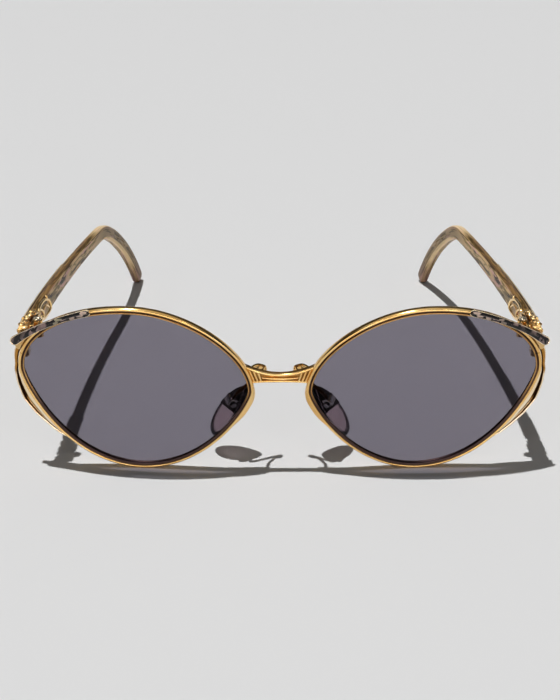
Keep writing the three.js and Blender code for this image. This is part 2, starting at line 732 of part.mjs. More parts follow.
function side(name) {
  const group = new THREE.Group();
  const add = (parent, piece, geometry, material) => {
    const mesh = new THREE.Mesh(geometry, new THREE.MeshStandardMaterial(material));
    mesh.name = `${name}_${piece}`;
    parent.add(mesh);
  };

  const front = new THREE.Group();
  front.rotation.x = frontTilt;
  front.updateMatrix();
  group.add(front);
  add(front, "eyewire", eyewire(), gold);
  add(front, "lens", lens(), tint);
  add(front, "brow_trim", browTrim(), enamel);
  add(front, "outer_arc", outerArc(), gold);
  add(front, "nasal_crescent", crescent(), gold);
  add(front, "closing_block", closingBlock(), gold);
  add(front, "closing_screw", closingScrew(), steel);
  add(front, "pad_arm", padArm(), gold);

  const pad = new THREE.Group();
  padFrame.decompose(pad.position, pad.quaternion, pad.scale);
  front.add(pad);
  add(pad, "pad_box", padBox(), gold);
  add(pad, "pad_screw", padScrew(), steel);
  add(pad, "pad_insert", padInsert(), steel);
  add(pad, "nose_pad", nosePad(), silicone);

  const hinge = new THREE.Group();
  hinge.position.copy(hingePoint).applyMatrix4(front.matrix);
  hinge.rotation.x = -templeSlope(hinge.position.z);
  hinge.updateMatrix();
  group.add(hinge);
  add(front, "endpiece", endpiece(hinge.matrix, front.matrix), gold);
  add(hinge, "hinge_front_leaf", hingeFrontLeaf(), gold);
  add(hinge, "hinge_temple_leaf", hingeTempleLeaf(), gold);
  add(hinge, "hinge_screw", hingeScrew(), steel);
  add(hinge, "temple_ferrule", ferrule(), gold);
  add(hinge, "temple_core", templeCore(), steel);
  add(hinge, "temple_sleeve", templeSleeve(), pearl);
  return group;
}

// Slope of the temples on the table, from the height of the pin over the wire's lowest point
function templeSlope(pinHeight) {
  const lowest = offOutline(0.5, wireWidth);
  const foot = onFront(lowest, -wireDepth / 2 * 0.5);
  const stand = pinHeight - (foot.y * Math.sin(frontTilt) + foot.z * Math.cos(frontTilt));
  const tip = onArm(0, 0, armLength - tipRounding);
  const drop = bendAngle + tipLength / tipRadius;
  const tipFoot = Math.hypot(tipRounding * Math.sin(drop), (templeTipHeight / 2) * Math.cos(drop));
  return Math.asin((stand - tipFoot) / Math.hypot(tip.y, tip.z)) - Math.atan2(-tip.z, tip.y);
}

const glasses = new THREE.Group();
const left = side("left");
const right = side("right");
right.scale.x = -1;
glasses.add(left, right);

const bridgeMesh = new THREE.Mesh(bridge(), new THREE.MeshStandardMaterial(gold));
bridgeMesh.name = "bridge";
bridgeMesh.rotation.x = frontTilt;
glasses.add(bridgeMesh);

// The origin is on the table, under the middle of the whole
const bounds = new THREE.Box3().setFromObject(glasses, true);
const middle = bounds.getCenter(new THREE.Vector3());
glasses.children.forEach((child) => child.position.sub(new THREE.Vector3(middle.x, middle.y, bounds.min.z)));

export default glasses;
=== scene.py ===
from math import copysign, cos, exp, pi, radians, sin, sqrt, tan

import bmesh
import bpy
from mathutils import Matrix, Vector


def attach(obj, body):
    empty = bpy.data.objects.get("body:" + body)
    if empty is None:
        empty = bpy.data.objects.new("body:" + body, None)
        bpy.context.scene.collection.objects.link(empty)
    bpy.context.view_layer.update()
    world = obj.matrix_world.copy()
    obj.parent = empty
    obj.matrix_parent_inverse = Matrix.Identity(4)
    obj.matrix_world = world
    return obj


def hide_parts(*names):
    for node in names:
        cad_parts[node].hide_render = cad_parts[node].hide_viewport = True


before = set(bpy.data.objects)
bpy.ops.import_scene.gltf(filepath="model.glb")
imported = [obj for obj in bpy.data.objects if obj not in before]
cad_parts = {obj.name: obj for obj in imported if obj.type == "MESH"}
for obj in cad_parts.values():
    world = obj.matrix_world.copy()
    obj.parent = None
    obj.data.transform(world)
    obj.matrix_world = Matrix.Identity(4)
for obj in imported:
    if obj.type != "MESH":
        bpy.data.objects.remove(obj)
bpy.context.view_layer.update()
mm = 0.001
sides = {"left": 1, "right": -1}  # pieces are drawn on the left, at +X, and mirrored to the right
print("frame loaded:", len(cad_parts), "solids")


# Nodes: one helper for shader, geometry and world trees

def addNode(tree, kind, settings=None, sockets=None):
    made = tree.nodes.new(kind)
    for key, value in (settings or {}).items():
        setattr(made, key, value)
    for key, value in (sockets or {}).items():
        socket = made.inputs[key]
        if isinstance(value, bpy.types.NodeSocket):
            tree.links.new(value, socket)
        elif socket.type == "RGBA" and len(value) == 3:
            socket.default_value = (*value, 1)
        else:
            socket.default_value = value
    return made


# Shader maths as Python expressions

class Wire:
    def __init__(self, paint, socket):
        self.paint, self.socket = paint, socket

    def calc(self, operation, *values):
        return self.paint.node("Math", {"operation": operation}, dict(enumerate(values)))

    def __add__(self, other):
        return self.calc("ADD", self, other)

    def __rsub__(self, other):
        return self.calc("SUBTRACT", other, self)

    def __mul__(self, other):
        return self.calc("MULTIPLY", self, other)

    def __pow__(self, other):
        return self.calc("POWER", self, other)

    __radd__, __rmul__ = __add__, __mul__

    def above(self, edge, soft):  # 0 below edge, 1 past edge + soft
        return self.paint.node("MapRange", {"interpolation_type": "SMOOTHSTEP"},
                               {"Value": self, "From Min": edge, "From Max": edge + soft})

    def mix(self, low, high):  # low colour at 0, high colour at 1
        return self.paint.node("Mix", {"data_type": "RGBA"}, {0: self, 6: low, 7: high}, 2)


class Paint:
    def __init__(self, name):
        self.material = bpy.data.materials.new(name)
        self.material.use_nodes = True
        self.tree = self.material.node_tree
        self.tree.nodes.clear()
        self.output = self.tree.nodes.new("ShaderNodeOutputMaterial")

    def node(self, kind, settings=None, sockets=None, out=0):
        given = {key: value.socket if isinstance(value, Wire) else value
                 for key, value in (sockets or {}).items()}
        made = addNode(self.tree, "ShaderNode" + kind, settings, given)
        return Wire(self, made.outputs[out])

    def place(self, stretch=(1, 1, 1)):
        where = self.node("TexCoord", out=3)
        return self.node("Mapping", None, {"Vector": where, "Scale": stretch})

    def along(self, name):
        return self.node("Attribute", {"attribute_name": name}, None, 2)

    def noise(self, where, scale, detail=3.0, rough=0.55, warp=0.0):
        return self.node("TexNoise", None, {"Vector": where, "Scale": scale, "Detail": detail,
                                            "Roughness": rough, "Distortion": warp})

    def bump(self, height, strength, distance):
        return self.node("Bump", None, {"Strength": strength, "Distance": distance, "Height": height})

    def skin(self, **sockets):
        names = {key.replace("_", " "): value for key, value in sockets.items()}
        return self.node("BsdfPrincipled", None, names)

    def done(self, surface):
        self.tree.links.new(surface.socket, self.output.inputs["Surface"])
        return self.material


# Finishes

def goldPlate(name, colour, wearAndShade, roughness, amber=(0.46, 0.22, 0.045), dark=(0.060, 0.022, 0.006)):
    paint = Paint(name)
    where = paint.place()
    cloud = paint.noise(where, 160, 4)
    fine = paint.noise(where, 1500, 2)
    # paintedShade, with lip times shade on the lower rims, is painted shade: the gold turns amber, then
    # dark, in grooves, recesses and parts that sit in shade
    paintedShade = paint.along("paintedShade") + paint.along("lip") * paint.along("shade")
    tone = cloud.above(0.35, 0.35).mix(wearAndShade, colour)
    tone = paintedShade.above(0.0, 0.5).mix(tone, amber)
    tone = paintedShade.above(0.45, 0.45).mix(tone, dark)
    rough = roughness + cloud * 0.06 + fine * 0.04 + paintedShade * 0.25
    return paint.done(paint.skin(Base_Color=tone, Metallic=1.0, Roughness=rough,
                                 Normal=paint.bump(fine, 0.05, 0.00005)))


goldLook = {"colour": (0.93, 0.64, 0.27), "wearAndShade": (0.85, 0.51, 0.17), "roughness": 0.11}
gold = goldPlate("gold plate", **goldLook)
rimGold = goldPlate("rim gold", **goldLook, amber=(0.38, 0.20, 0.07), dark=(0.085, 0.052, 0.044))
paleGold = goldPlate("pale gold", (1.0, 0.86, 0.66), (0.97, 0.76, 0.48), 0.10)
giltSteel = goldPlate("gilt steel", (0.70, 0.62, 0.46), (0.55, 0.47, 0.34), 0.22)
collarShadeGilt = goldPlate("collar shade gilt", (0.26, 0.125, 0.035), (0.12, 0.05, 0.014), 0.28)
satinGold = goldPlate("satin gold", (0.98, 0.82, 0.58), (0.95, 0.74, 0.46), 0.26)
scrollGold = goldPlate("scroll gold", (0.98, 0.74, 0.40), (0.93, 0.62, 0.26), 0.14)
darkPlate = goldPlate("dark plate", (0.045, 0.038, 0.036), (0.022, 0.018, 0.018), 0.24)
darkSteel = goldPlate("dark steel", (0.42, 0.39, 0.39), (0.22, 0.20, 0.20), 0.07)
shadowGold = goldPlate("shadow gold", (0.20, 0.095, 0.03), (0.10, 0.042, 0.014), 0.30)
bridgeShade = goldPlate("bridge shade", (0.52, 0.29, 0.09), (0.34, 0.17, 0.045), 0.24)
edgeGold = goldPlate("edge gold", (1.0, 0.84, 0.55), (0.96, 0.74, 0.40), 0.40)
softGold = goldPlate("soft gold", (0.80, 0.57, 0.28), (0.66, 0.42, 0.17), 0.36)


def lensTint(passed, gloss):
    paint = Paint("lens tint")
    haze = paint.noise(paint.place(), 30, 2)
    shine = paint.skin(Base_Color=(0.02, 0.02, 0.025), Roughness=0.03 + haze * 0.02, IOR=1.5)
    clear = paint.node("BsdfTransparent", None, {"Color": passed})
    facing = paint.node("LayerWeight", None, {"Blend": 0.5}, 1)
    mirrored = gloss + (1 - gloss) * facing ** 5
    return paint.done(paint.node("MixShader", None, {0: mirrored, 1: clear, 2: shine}))


tint = lensTint(passed=(0.505, 0.487, 0.535), gloss=0.018)


# run goes from the inner end to the corner, over from the lower edge to the upper one
def marbledEnamel(bone, olive, mauve, brown, black):
    paint = Paint("marbled enamel")
    run, over = paint.along("run"), paint.along("over")
    where = paint.place()
    drift = paint.noise(where, 260, 3)
    ragged = paint.noise(where, 900, 2)
    row = over.above(0.52, 0.02)
    tiles = paint.node("CombineXYZ", None, {0: run * 11 + row * 5.37 + ragged * 0.5,
                                            1: over * 2.0 + ragged * 0.35})
    cell = {"Vector": tiles, "Scale": 1.0, "Randomness": 0.62}
    edge = paint.node("TexVoronoi", {"feature": "DISTANCE_TO_EDGE", "voronoi_dimensions": "2D"}, cell)
    chance = paint.node("SeparateColor", None, {
        0: paint.node("TexVoronoi", {"feature": "F1", "voronoi_dimensions": "2D"}, cell, 1)})
    patch = chance.above(0.46, 0.05) * edge.above(0.12, 0.08)
    flecks = chance.above(0.72, 0.05).mix(bone, olive)
    broken = patch.mix(black, drift.above(0.45, 0.2).mix(flecks, mauve))
    satin = drift.above(0.38, 0.25).mix(brown, mauve)
    vein = paint.node("TexVoronoi", {"feature": "DISTANCE_TO_EDGE"},
                      {"Vector": paint.place((1, 1, 0.6)), "Scale": 330, "Randomness": 1.0})
    satin = (1 - vein.above(0.05, 0.07)).mix(satin, black)
    satin = (1 - ragged.above(0.36, 0.06)).mix(satin, black)
    satin = run.above(0.955, 0.03).mix(satin, brown)
    colour = (run + ragged * 0.05).above(0.50, 0.04).mix(broken, satin)
    return paint.done(paint.skin(Base_Color=colour, Roughness=0.24 + drift * 0.12, Specular_IOR_Level=0.25,
                                 Coat_Weight=0.15, Coat_Roughness=0.06,
                                 Normal=paint.bump(ragged, 0.08, 0.0001)))


enamel = marbledEnamel(bone=(0.78, 0.58, 0.46), olive=(0.38, 0.34, 0.22), mauve=(0.36, 0.245, 0.225),
                       brown=(0.085, 0.06, 0.05), black=(0.010, 0.008, 0.008))


# run is the length along the arm in mm, over goes once around it from the outer face by the top
def pearlPlastic(straw, blush, olive, umber, amber, highlightCream, tipTone):
    paint = Paint("pearl plastic")
    run, over = paint.along("run"), paint.along("over")
    where = paint.node("CombineXYZ", None, {0: run * 0.045, 1: over * 8.5, 2: run * 0.01})
    streaks = paint.noise(where, 2.2, 4, 0.55, 0.7)
    clouds = paint.noise(where, 1.3, 2, 0.5, 0.4)
    colour = streaks.above(0.45, 0.10).mix(olive, straw)
    colour = clouds.above(0.52, 0.08).mix(colour, blush)
    colour = (1 - streaks.above(0.36, 0.07)).mix(colour, umber)
    top = over.above(0.15, 0.05) * (1 - over.above(0.34, 0.05))
    low = over.above(0.54, 0.05) * (1 - over.above(0.70, 0.06))
    bent = run.above(70, 16)
    # painted shade: the top face of the straight part is darker
    colour = (top * (1 - bent) * 0.92).mix(colour, streaks.above(0.44, 0.12).mix(umber, amber))
    # painted highlights: cream along the top of the bend and along the underside of the tip
    colour = (top * bent * (1 - run.above(114, 12)) * 0.85).mix(colour, highlightCream)
    colour = (low * run.above(84, 10) * (1 - run.above(116, 12)) * 0.8).mix(colour, highlightCream)
    # painted shade: the sides of the bent part are darker
    colour = ((1 - top) * (1 - low) * bent * 0.5).mix(colour, umber)
    colour = (run.above(120, 10) * 0.6).mix(colour, tipTone)
    rough = 0.24 + clouds * 0.1
    return paint.done(paint.skin(Base_Color=colour, Roughness=rough, Specular_IOR_Level=0.08))


pearl = pearlPlastic(straw=(0.76, 0.52, 0.25), blush=(0.78, 0.46, 0.35), olive=(0.27, 0.17, 0.045),
                     umber=(0.055, 0.028, 0.008), amber=(0.27, 0.15, 0.04), highlightCream=(0.98, 0.74, 0.42),
                     tipTone=(0.26, 0.15, 0.12))


# run goes from the middle of the pad to its rim
def padSilicone(body, rim):
    paint = Paint("pad silicone")
    haze = paint.noise(paint.place(), 300, 2)
    # the near-black rim tone paints the dark outline that the clear edge shows by refraction
    tone = paint.along("run").above(0.82, 0.06).mix(body, rim)
    return paint.done(paint.skin(Base_Color=tone, Roughness=0.08 + haze * 0.1, IOR=1.42,
                                 Transmission_Weight=1.0))


silicone = padSilicone(body=(0.72, 0.56, 0.57), rim=(0.004, 0.002, 0.003))
print("finishes made")


# The front: its outline, its curve and its lean, as in the solids

front = {
    "origin": (0.0, -65.787, 24.282), "lean": 5, "lensWidth": 58.3, "lensHeight": 46.9, "lensGap": 15.7,
    "topShift": 0.6, "bottomShift": -0.2, "temporalRise": 5.1, "curveRadius": 88, "wrap": 3,
    "tangents": (0.55, 0.415, 0.15, 0.58, 0.64, 0.15, 0.5, 0.58), "split": 0.791, "wireWidth": 1.2,
}
lensMiddle = (front["lensGap"] + front["lensWidth"]) / 2


def placement(origin, tilt):
    return Matrix.Translation(Vector(origin)) @ Matrix.Rotation(radians(tilt), 4, "X")


frontMatrix = placement(front["origin"], front["lean"])


def outlineQuarters():
    half, rise = front["lensWidth"] / 2, front["lensHeight"] / 2
    top = Vector((lensMiddle + front["topShift"], rise))
    nasal = Vector((lensMiddle - half, 0))
    bottom = Vector((lensMiddle + front["bottomShift"], -rise))
    temporal = Vector((lensMiddle + half, front["temporalRise"]))
    ends = ((top, nasal, True), (nasal, bottom, False), (bottom, temporal, True), (temporal, top, False))
    quarters = []
    for index, (start, end, level) in enumerate(ends):
        leave, arrive = front["tangents"][2 * index:2 * index + 2]
        step = end - start
        out = Vector((step.x, 0)) if level else Vector((0, step.y))
        into = Vector((0, step.y)) if level else Vector((step.x, 0))
        quarters.append((start, start + out * leave, end - into * arrive, end))
    return quarters


quarters = outlineQuarters()


# share goes once around the lens from the top by the nose, reach is outward from the lens edge
def offOutline(share, reach):
    turn = (share % 1) * 4
    a, b, c, d = quarters[int(turn) % 4]
    t = turn % 1
    s = 1 - t
    point = a * s ** 3 + b * 3 * s * s * t + c * 3 * s * t * t + d * t ** 3
    along = (b - a) * s * s + (c - b) * 2 * s * t + (d - c) * t * t
    along.normalize()
    return Vector((point.x + along.y * reach, point.y - along.x * reach))


def frontDepth(x, z):
    dx = x - lensMiddle
    sag = front["curveRadius"] - sqrt(front["curveRadius"] ** 2 - dx * dx - z * z)
    return sag + tan(radians(front["wrap"])) * dx


def onFront(flat, depth):
    return frontMatrix @ Vector((flat.x, frontDepth(flat.x, flat.y) + depth, flat.y))


def mix(a, b, share):
    return a + (b - a) * share


def smoothStep(low, high, value):
    t = min(1, max(0, (value - low) / (high - low)))
    return t * t * (3 - 2 * t)


def swellBetween(rise, fall, value):  # 0, up to 1 over rise, and back to 0 over fall
    return smoothStep(*rise, value) * (1 - smoothStep(*fall, value))


# Meshes: rings of points joined into a skin, and mirrored for the right

def sided(side, name):
    return f"{side}_{name}" if side else name


def addObject(name, data):
    made = bpy.data.objects.new(name, data)
    bpy.context.scene.collection.objects.link(made)
    return made


def ringMesh(rings, closed=True, caps=True, marks=None):
    count = len(rings[0])
    mesh = bmesh.new()
    layers = {name: mesh.verts.layers.float.new(name) for name in marks or {}}
    rows = []
    for row, ring in enumerate(rings):
        rows.append([mesh.verts.new(point) for point in ring])
        for name, layer in layers.items():
            for column, vert in enumerate(rows[-1]):
                vert[layer] = marks[name](row, column)
    last = count if closed else count - 1
    for lower, upper in zip(rows, rows[1:]):
        for i in range(last):
            j = (i + 1) % count
            mesh.faces.new((lower[i], lower[j], upper[j], upper[i]))
    if caps:
        mesh.faces.new(list(reversed(rows[0])))
        mesh.faces.new(rows[-1])
    return mesh


# look holds the finish, the body and the slot
def pieceFrom(mesh, side, name, look, node=None, smoothAngle=40):
    if side == "right":
        bmesh.ops.scale(mesh, vec=(-1, 1, 1), verts=mesh.verts)
    bmesh.ops.remove_doubles(mesh, verts=mesh.verts, dist=1e-4)
    bmesh.ops.recalc_face_normals(mesh, faces=mesh.faces)
    bmesh.ops.scale(mesh, vec=(mm, mm, mm), verts=mesh.verts)
    dressed(meshData(mesh, sided(side, name)), side, name, look, node, smoothAngle)


def bothSides(rings, name, look, node, smoothAngle=40, **shape):
    for side in sides:
        pieceFrom(ringMesh(rings, **shape), side, name, look, node, smoothAngle)


def meshData(mesh, name):
    data = bpy.data.meshes.new(name)
    mesh.to_mesh(data)
    mesh.free()
    return data


def dressed(data, side, name, look, node=None, smoothAngle=40):
    material, body, slot = look
    data.materials.clear()
    data.materials.append(material)
    data.shade_smooth()
    data.set_sharp_from_angle(angle=radians(smoothAngle))
    piece = addObject(sided(side, name), data)
    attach(piece, body if body == "front" else sided(side, body))
    if node:
        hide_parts(sided(side, node))


# Geometry Nodes: one tree sweeps a profile along a path, the other draws round wire

def newTree(name, **inputs):
    tree = bpy.data.node_groups.new(name, "GeometryNodeTree")
    tree.interface.new_socket("Geometry", in_out="INPUT", socket_type="NodeSocketGeometry")
    for label, kind in inputs.items():
        tree.interface.new_socket(label, in_out="INPUT", socket_type="NodeSocket" + kind)
    tree.interface.new_socket("Geometry", in_out="OUTPUT", socket_type="NodeSocketGeometry")
    return tree, tree.nodes.new("NodeGroupInput").outputs


def geoNode(tree, kind, sockets=None, settings=None):
    return addNode(tree, "GeometryNode" + kind, settings, sockets).outputs[0]


def endTree(tree, geometry, finish):
    real = geoNode(tree, "RealizeInstances", {"Geometry": geometry})
    painted = geoNode(tree, "SetMaterial", {"Geometry": real, "Material": finish})
    addNode(tree, "NodeGroupOutput", None, {"Geometry": painted})
    return tree


def sweepTree():
    tree, given = newTree("sweep along path", Profile="Object", Turn="Rotation", Shift="Vector",
                          Mirror="Bool", Finish="Material")
    curve = geoNode(tree, "MeshToCurve", {"Mesh": given["Geometry"]})
    upright = geoNode(tree, "SetCurveNormal", {"Curve": curve}, {"mode": "Z_UP"})
    shape = addNode(tree, "GeometryNodeObjectInfo", None, {"Object": given["Profile"]})
    section = geoNode(tree, "MeshToCurve", {"Mesh": shape.outputs["Geometry"]})
    swept = geoNode(tree, "CurveToMesh", {"Curve": upright, "Profile Curve": section, "Fill Caps": True})
    placed = geoNode(tree, "Transform", {"Geometry": swept, "Translation": given["Shift"],
                                         "Rotation": given["Turn"]})
    flipped = geoNode(tree, "Transform", {"Geometry": placed, "Scale": (-1, 1, 1)})
    turned = geoNode(tree, "FlipFaces", {"Mesh": flipped})
    chosen = geoNode(tree, "Switch", {"Switch": given["Mirror"], "False": placed, "True": turned},
                     {"input_type": "GEOMETRY"})
    return endTree(tree, chosen, given["Finish"])


def wireTree():
    tree, given = newTree("round wire", Radius="Float", Sides="Int", Finish="Material")
    curve = geoNode(tree, "MeshToCurve", {"Mesh": given["Geometry"]})
    thick = geoNode(tree, "InputNamedAttribute", {"Name": "thick"}, {"data_type": "FLOAT"})
    scaled = addNode(tree, "ShaderNodeMath", {"operation": "MULTIPLY"}, {0: thick, 1: given["Radius"]})
    shaped = geoNode(tree, "SetCurveRadius", {"Curve": curve, "Radius": scaled.outputs[0]})
    ring = geoNode(tree, "CurvePrimitiveCircle", {"Resolution": given["Sides"], "Radius": 1.0})
    drawn = geoNode(tree, "CurveToMesh", {"Curve": shaped, "Profile Curve": ring, "Fill Caps": True,
                                          "Scale": geoNode(tree, "InputRadius")})
    return endTree(tree, drawn, given["Finish"])


def runTree(tree, data, name, values):
    source = addObject(name + "_source", data)
    modifier = source.modifiers.new("nodes", "NODES")
    modifier.node_group = tree
    for item in tree.interface.items_tree:
        if item.in_out == "INPUT" and item.name in values:
            modifier[item.identifier] = values[item.name]
    bpy.context.view_layer.update()
    depsgraph = bpy.context.evaluated_depsgraph_get()
    made = bpy.data.meshes.new_from_object(source.evaluated_get(depsgraph), depsgraph=depsgraph)
    source.modifiers.remove(modifier)
    bpy.data.objects.remove(source)
    return made


sweep, wire = sweepTree(), wireTree()
wireSides = 12


def markPoints(data, name, values):
    data.attributes.new(name, "FLOAT", "POINT").data.foreach_set("value", values)


def polyline(name, lines, closed=False, thick=None):
    data = bpy.data.meshes.new(name)
    points, edges, widths = [], [], []
    for index, line in enumerate(lines):
        first = len(points)
        points += [tuple(point) for point in line]
        widths += thick[index] if thick else [1.0] * len(line)
        edges += [(first + i, first + i + 1) for i in range(len(line) - 1)]
        if closed:
            edges.append((len(points) - 1, first))
    data.from_pydata(points, edges, [])
    markPoints(data, "thick", widths)
    return data


# thick holds a share of the radius for each point of each line
def wirePiece(side, name, lines, radius, look, node=None, thick=None):
    flip = Vector((-mm if side == "right" else mm, mm, mm))
    data = polyline(sided(side, name), [[point * flip for point in line] for line in lines], False, thick)
    values = {"Radius": radius * mm, "Sides": wireSides, "Finish": look[0]}
    dressed(runTree(wire, data, sided(side, name), values), side, name, look, node, 60)


# Rims: an outer bead, a fine groove and an inner lip that holds the lens

rim = {
    "steps": 300, "gap": 0.0012, "lipShade": 0.68, "shadeHeights": (-9, 3), "lipPoints": range(3, 11),
    # reach from the lens edge, depth, painted shade (darkest in the groove and on the seat behind the lens,
    # lighter on the lip)
    "profile": ((0, 0.66, 0.9), (0.45, 0, 1), (0, -0.5, 0.9), (-0.14, -0.56, 0.5), (-0.34, -0.6, 0.4),
                (-0.42, -0.68, 0.36), (-0.43, -0.78, 0.34), (-0.36, -0.9, 0.34), (-0.24, -0.95, 0.34),
                (-0.1, -0.92, 0.38), (-0.02, -0.84, 0.5), (0.04, -0.70, 0.8), (0.1, -0.61, 0.95),
                (0.22, -0.60, 0.95), (0.3, -0.68, 0.9), (0.37, -0.80, 0.6), (0.45, -0.91, 0.3),
                (0.58, -0.99, 0.1), (0.74, -1.03, 0), (0.92, -0.98, 0), (1.05, -0.86, 0), (1.14, -0.68, 0),
                (1.19, -0.45, 0), (1.2, -0.1, 0), (1.2, 0.4, 0), (1.13, 0.68, 0), (0.96, 0.88, 0),
                (0.7, 0.95, 0), (0.25, 0.95, 0), (0.06, 0.9, 0), (0, 0.8, 0.3)),
}


def makeRims():
    path, shade = [], []
    for i in range(rim["steps"] + 1):
        share = front["split"] + rim["gap"] / 2 + (1 - rim["gap"]) * i / rim["steps"]
        flat = offOutline(share, 0)
        path.append((flat.x * mm, flat.y * mm, -frontDepth(flat.x, flat.y) * mm))
        # painted shade on the lip of the lower part of each rim, fading out between the shade heights
        shade.append(rim["lipShade"] * (1 - smoothStep(*rim["shadeHeights"], flat.y)))
    section = [Vector((reach * mm, depth * mm, 0)) for reach, depth, _ in rim["profile"]]
    profileData = polyline("rim_profile", [section], True)
    markPoints(profileData, "paintedShade", [paintedShade for _, _, paintedShade in rim["profile"]])
    markPoints(profileData, "lip", [float(i in rim["lipPoints"]) for i in range(len(section))])
    profile = addObject("rim_profile", profileData)
    for side in sides:
        values = {"Profile": profile, "Turn": (radians(90 + front["lean"]), 0, 0),
                  "Shift": tuple(x * mm for x in front["origin"]), "Mirror": side == "right",
                  "Finish": rimGold}
        line = polyline(sided(side, "rim"), [path])
        markPoints(line, "shade", shade)
        made = runTree(sweep, line, sided(side, "rim"), values)
        dressed(made, side, "rim", (rimGold, "front", "gold"), "eyewire", 50)
    bpy.data.objects.remove(profile)


makeRims()
print("rims swept")


# Lenses

lens = {
    "thickness": 1.6, "bevel": 0.3, "turns": 160, "rings": 20,
    # share of the way to the edge, share of half the thickness
    "edge": ((0.93, 0.97), (0.955, 0.91), (0.975, 0.82), (0.99, 0.69), (1, 0.57)),
}


def makeLenses():
    half, turns = lens["thickness"] / 2, lens["turns"]
    edge = [offOutline(i / turns, 0) for i in range(turns)]
    tips = [onFront(offOutline(i / turns, lens["bevel"]), 0) for i in range(turns)]
    shares = [*((i / lens["rings"], 1) for i in range(1, lens["rings"] - 1)), *lens["edge"]]

    def face(depth):
        return [[onFront(Vector((mix(lensMiddle, flat.x, share), flat.y * share)), depth * thick)
                 for flat in edge] for share, thick in shares]

    rings = [*face(-half), tips, *reversed(face(half))]
    bothSides(rings, "tinted_lens", (tint, "front", "lens_tint"), "lens", 30)


makeLenses()
print("lenses ground")


# Brow trims: enamel strip between two gold edges, rounded off at the corner

brow = {
    "inner": (46.9, 23.25), "corner": (68.4, 12.1), "arch": 1.35, "width": 1.95, "innerWidth": 1.55,
    "waist": 1.35, "waistBy": 0.35, "widens": (0.66, 0.95), "startLength": 0.04, "endLength": 0.055,
    "crown": 0.95, "endCrown": 0.45, "steps": 90, "roundSteps": 12, "back": 0.95, "gap": 0.02,
    "edgeRadius": 0.14, "edgeAcross": 0.49, "edgeHeight": 0.42, "edgeSwell": 1.5,
    "edgeSwells": (0.85, 0.96), "crownRise": (0, 0.02), "crownFall": (0.978, 1.0),
    "startCut": 0.85, "startLeft": 0.02, "endLeft": 0.01,  # shares of the squared width
    # share of the width, share of the crown
    "section": ((-0.5, 0), (-0.5, 0.45), (-0.42, 0.78), (-0.3, 0.93), (-0.12, 1.0),
                (0.12, 1.0), (0.3, 0.93), (0.42, 0.78), (0.5, 0.45), (0.5, 0)),
}


def browPoint(t):
    start = Vector(brow["inner"])
    end = Vector(brow["corner"])
    across = Vector((start.y - end.y, end.x - start.x)).normalized() * 2 * brow["arch"]
    control = (start + end) / 2 + across
    point = start * (1 - t) ** 2 + control * 2 * t * (1 - t) + end * t * t
    tangent = (control - start) * (1 - t) + (end - control) * t
    return point, tangent.normalized()


def browWidthAt(t):
    width = mix(brow["innerWidth"], brow["waist"], smoothStep(0, brow["waistBy"], t))
    width = mix(width, brow["width"], smoothStep(*brow["widens"], t))
    nearEnd = max(0.0, (t - 1 + brow["endLength"]) / brow["endLength"])
    nearStart = max(0.0, (brow["startLength"] - t) / brow["startLength"])
    atEnd = max(brow["endLeft"], 1 - nearEnd ** 2)
    atStart = max(brow["startLeft"], 1 - brow["startCut"] * nearStart ** 2)
    return width * sqrt(atEnd) * sqrt(atStart)


def browFlat(t, across):
    point, tangent = browPoint(t)
    off = across * browWidthAt(t)
    return Vector((point.x - tangent.y * off, point.y + tangent.x * off))


def browStops():
    start, end, steps, count = brow["startLength"], brow["endLength"], brow["steps"], brow["roundSteps"]
    easeIn = [start * (0.5 - 0.5 * cos(pi * i / count)) for i in range(count)]
    plain = [mix(start, 1 - end, i / steps) for i in range(steps)]
    easeOut = [1 - end + end * sin(i / count * pi / 2) for i in range(count + 1)]
    return easeIn + plain + easeOut


def makeBrows():
    section, stops = brow["section"], browStops()
    rings, edges = [], ([], [])
    for t in stops:
        full = swellBetween(brow["crownRise"], brow["crownFall"], t)
        crown = brow["crown"] * mix(brow["endCrown"], 1, full)
        rings.append([onFront(browFlat(t, across), -brow["back"] - brow["gap"] - thick * crown)
                      for across, thick in section])
        for line, across in zip(edges, (-brow["edgeAcross"], brow["edgeAcross"])):
            line.append(onFront(browFlat(t, across), -brow["back"] - brow["edgeHeight"] * brow["crown"]))
    marks = {"run": lambda row, column: stops[row], "over": lambda row, column: column / (len(section) - 1)}
    swell = [mix(1, brow["edgeSwell"], smoothStep(*brow["edgeSwells"], t)) for t in stops]
    edgeLook = (paleGold, "front", "gold")
    for side in sides:
        mesh = ringMesh(rings, marks=marks)
        pieceFrom(mesh, side, "brow_enamel", (enamel, "front", "enamel"), "brow_trim")
        wirePiece(side, "brow_edges", edges, brow["edgeRadius"], edgeLook, None, [swell] * 2)


makeBrows()
print("brow trims laid")


# Outer arcs: a broad polished band over the rim, a dark recess and a fine outer bead; the recess, the
# band's edges and the upper part of the bead are darkened with painted shade

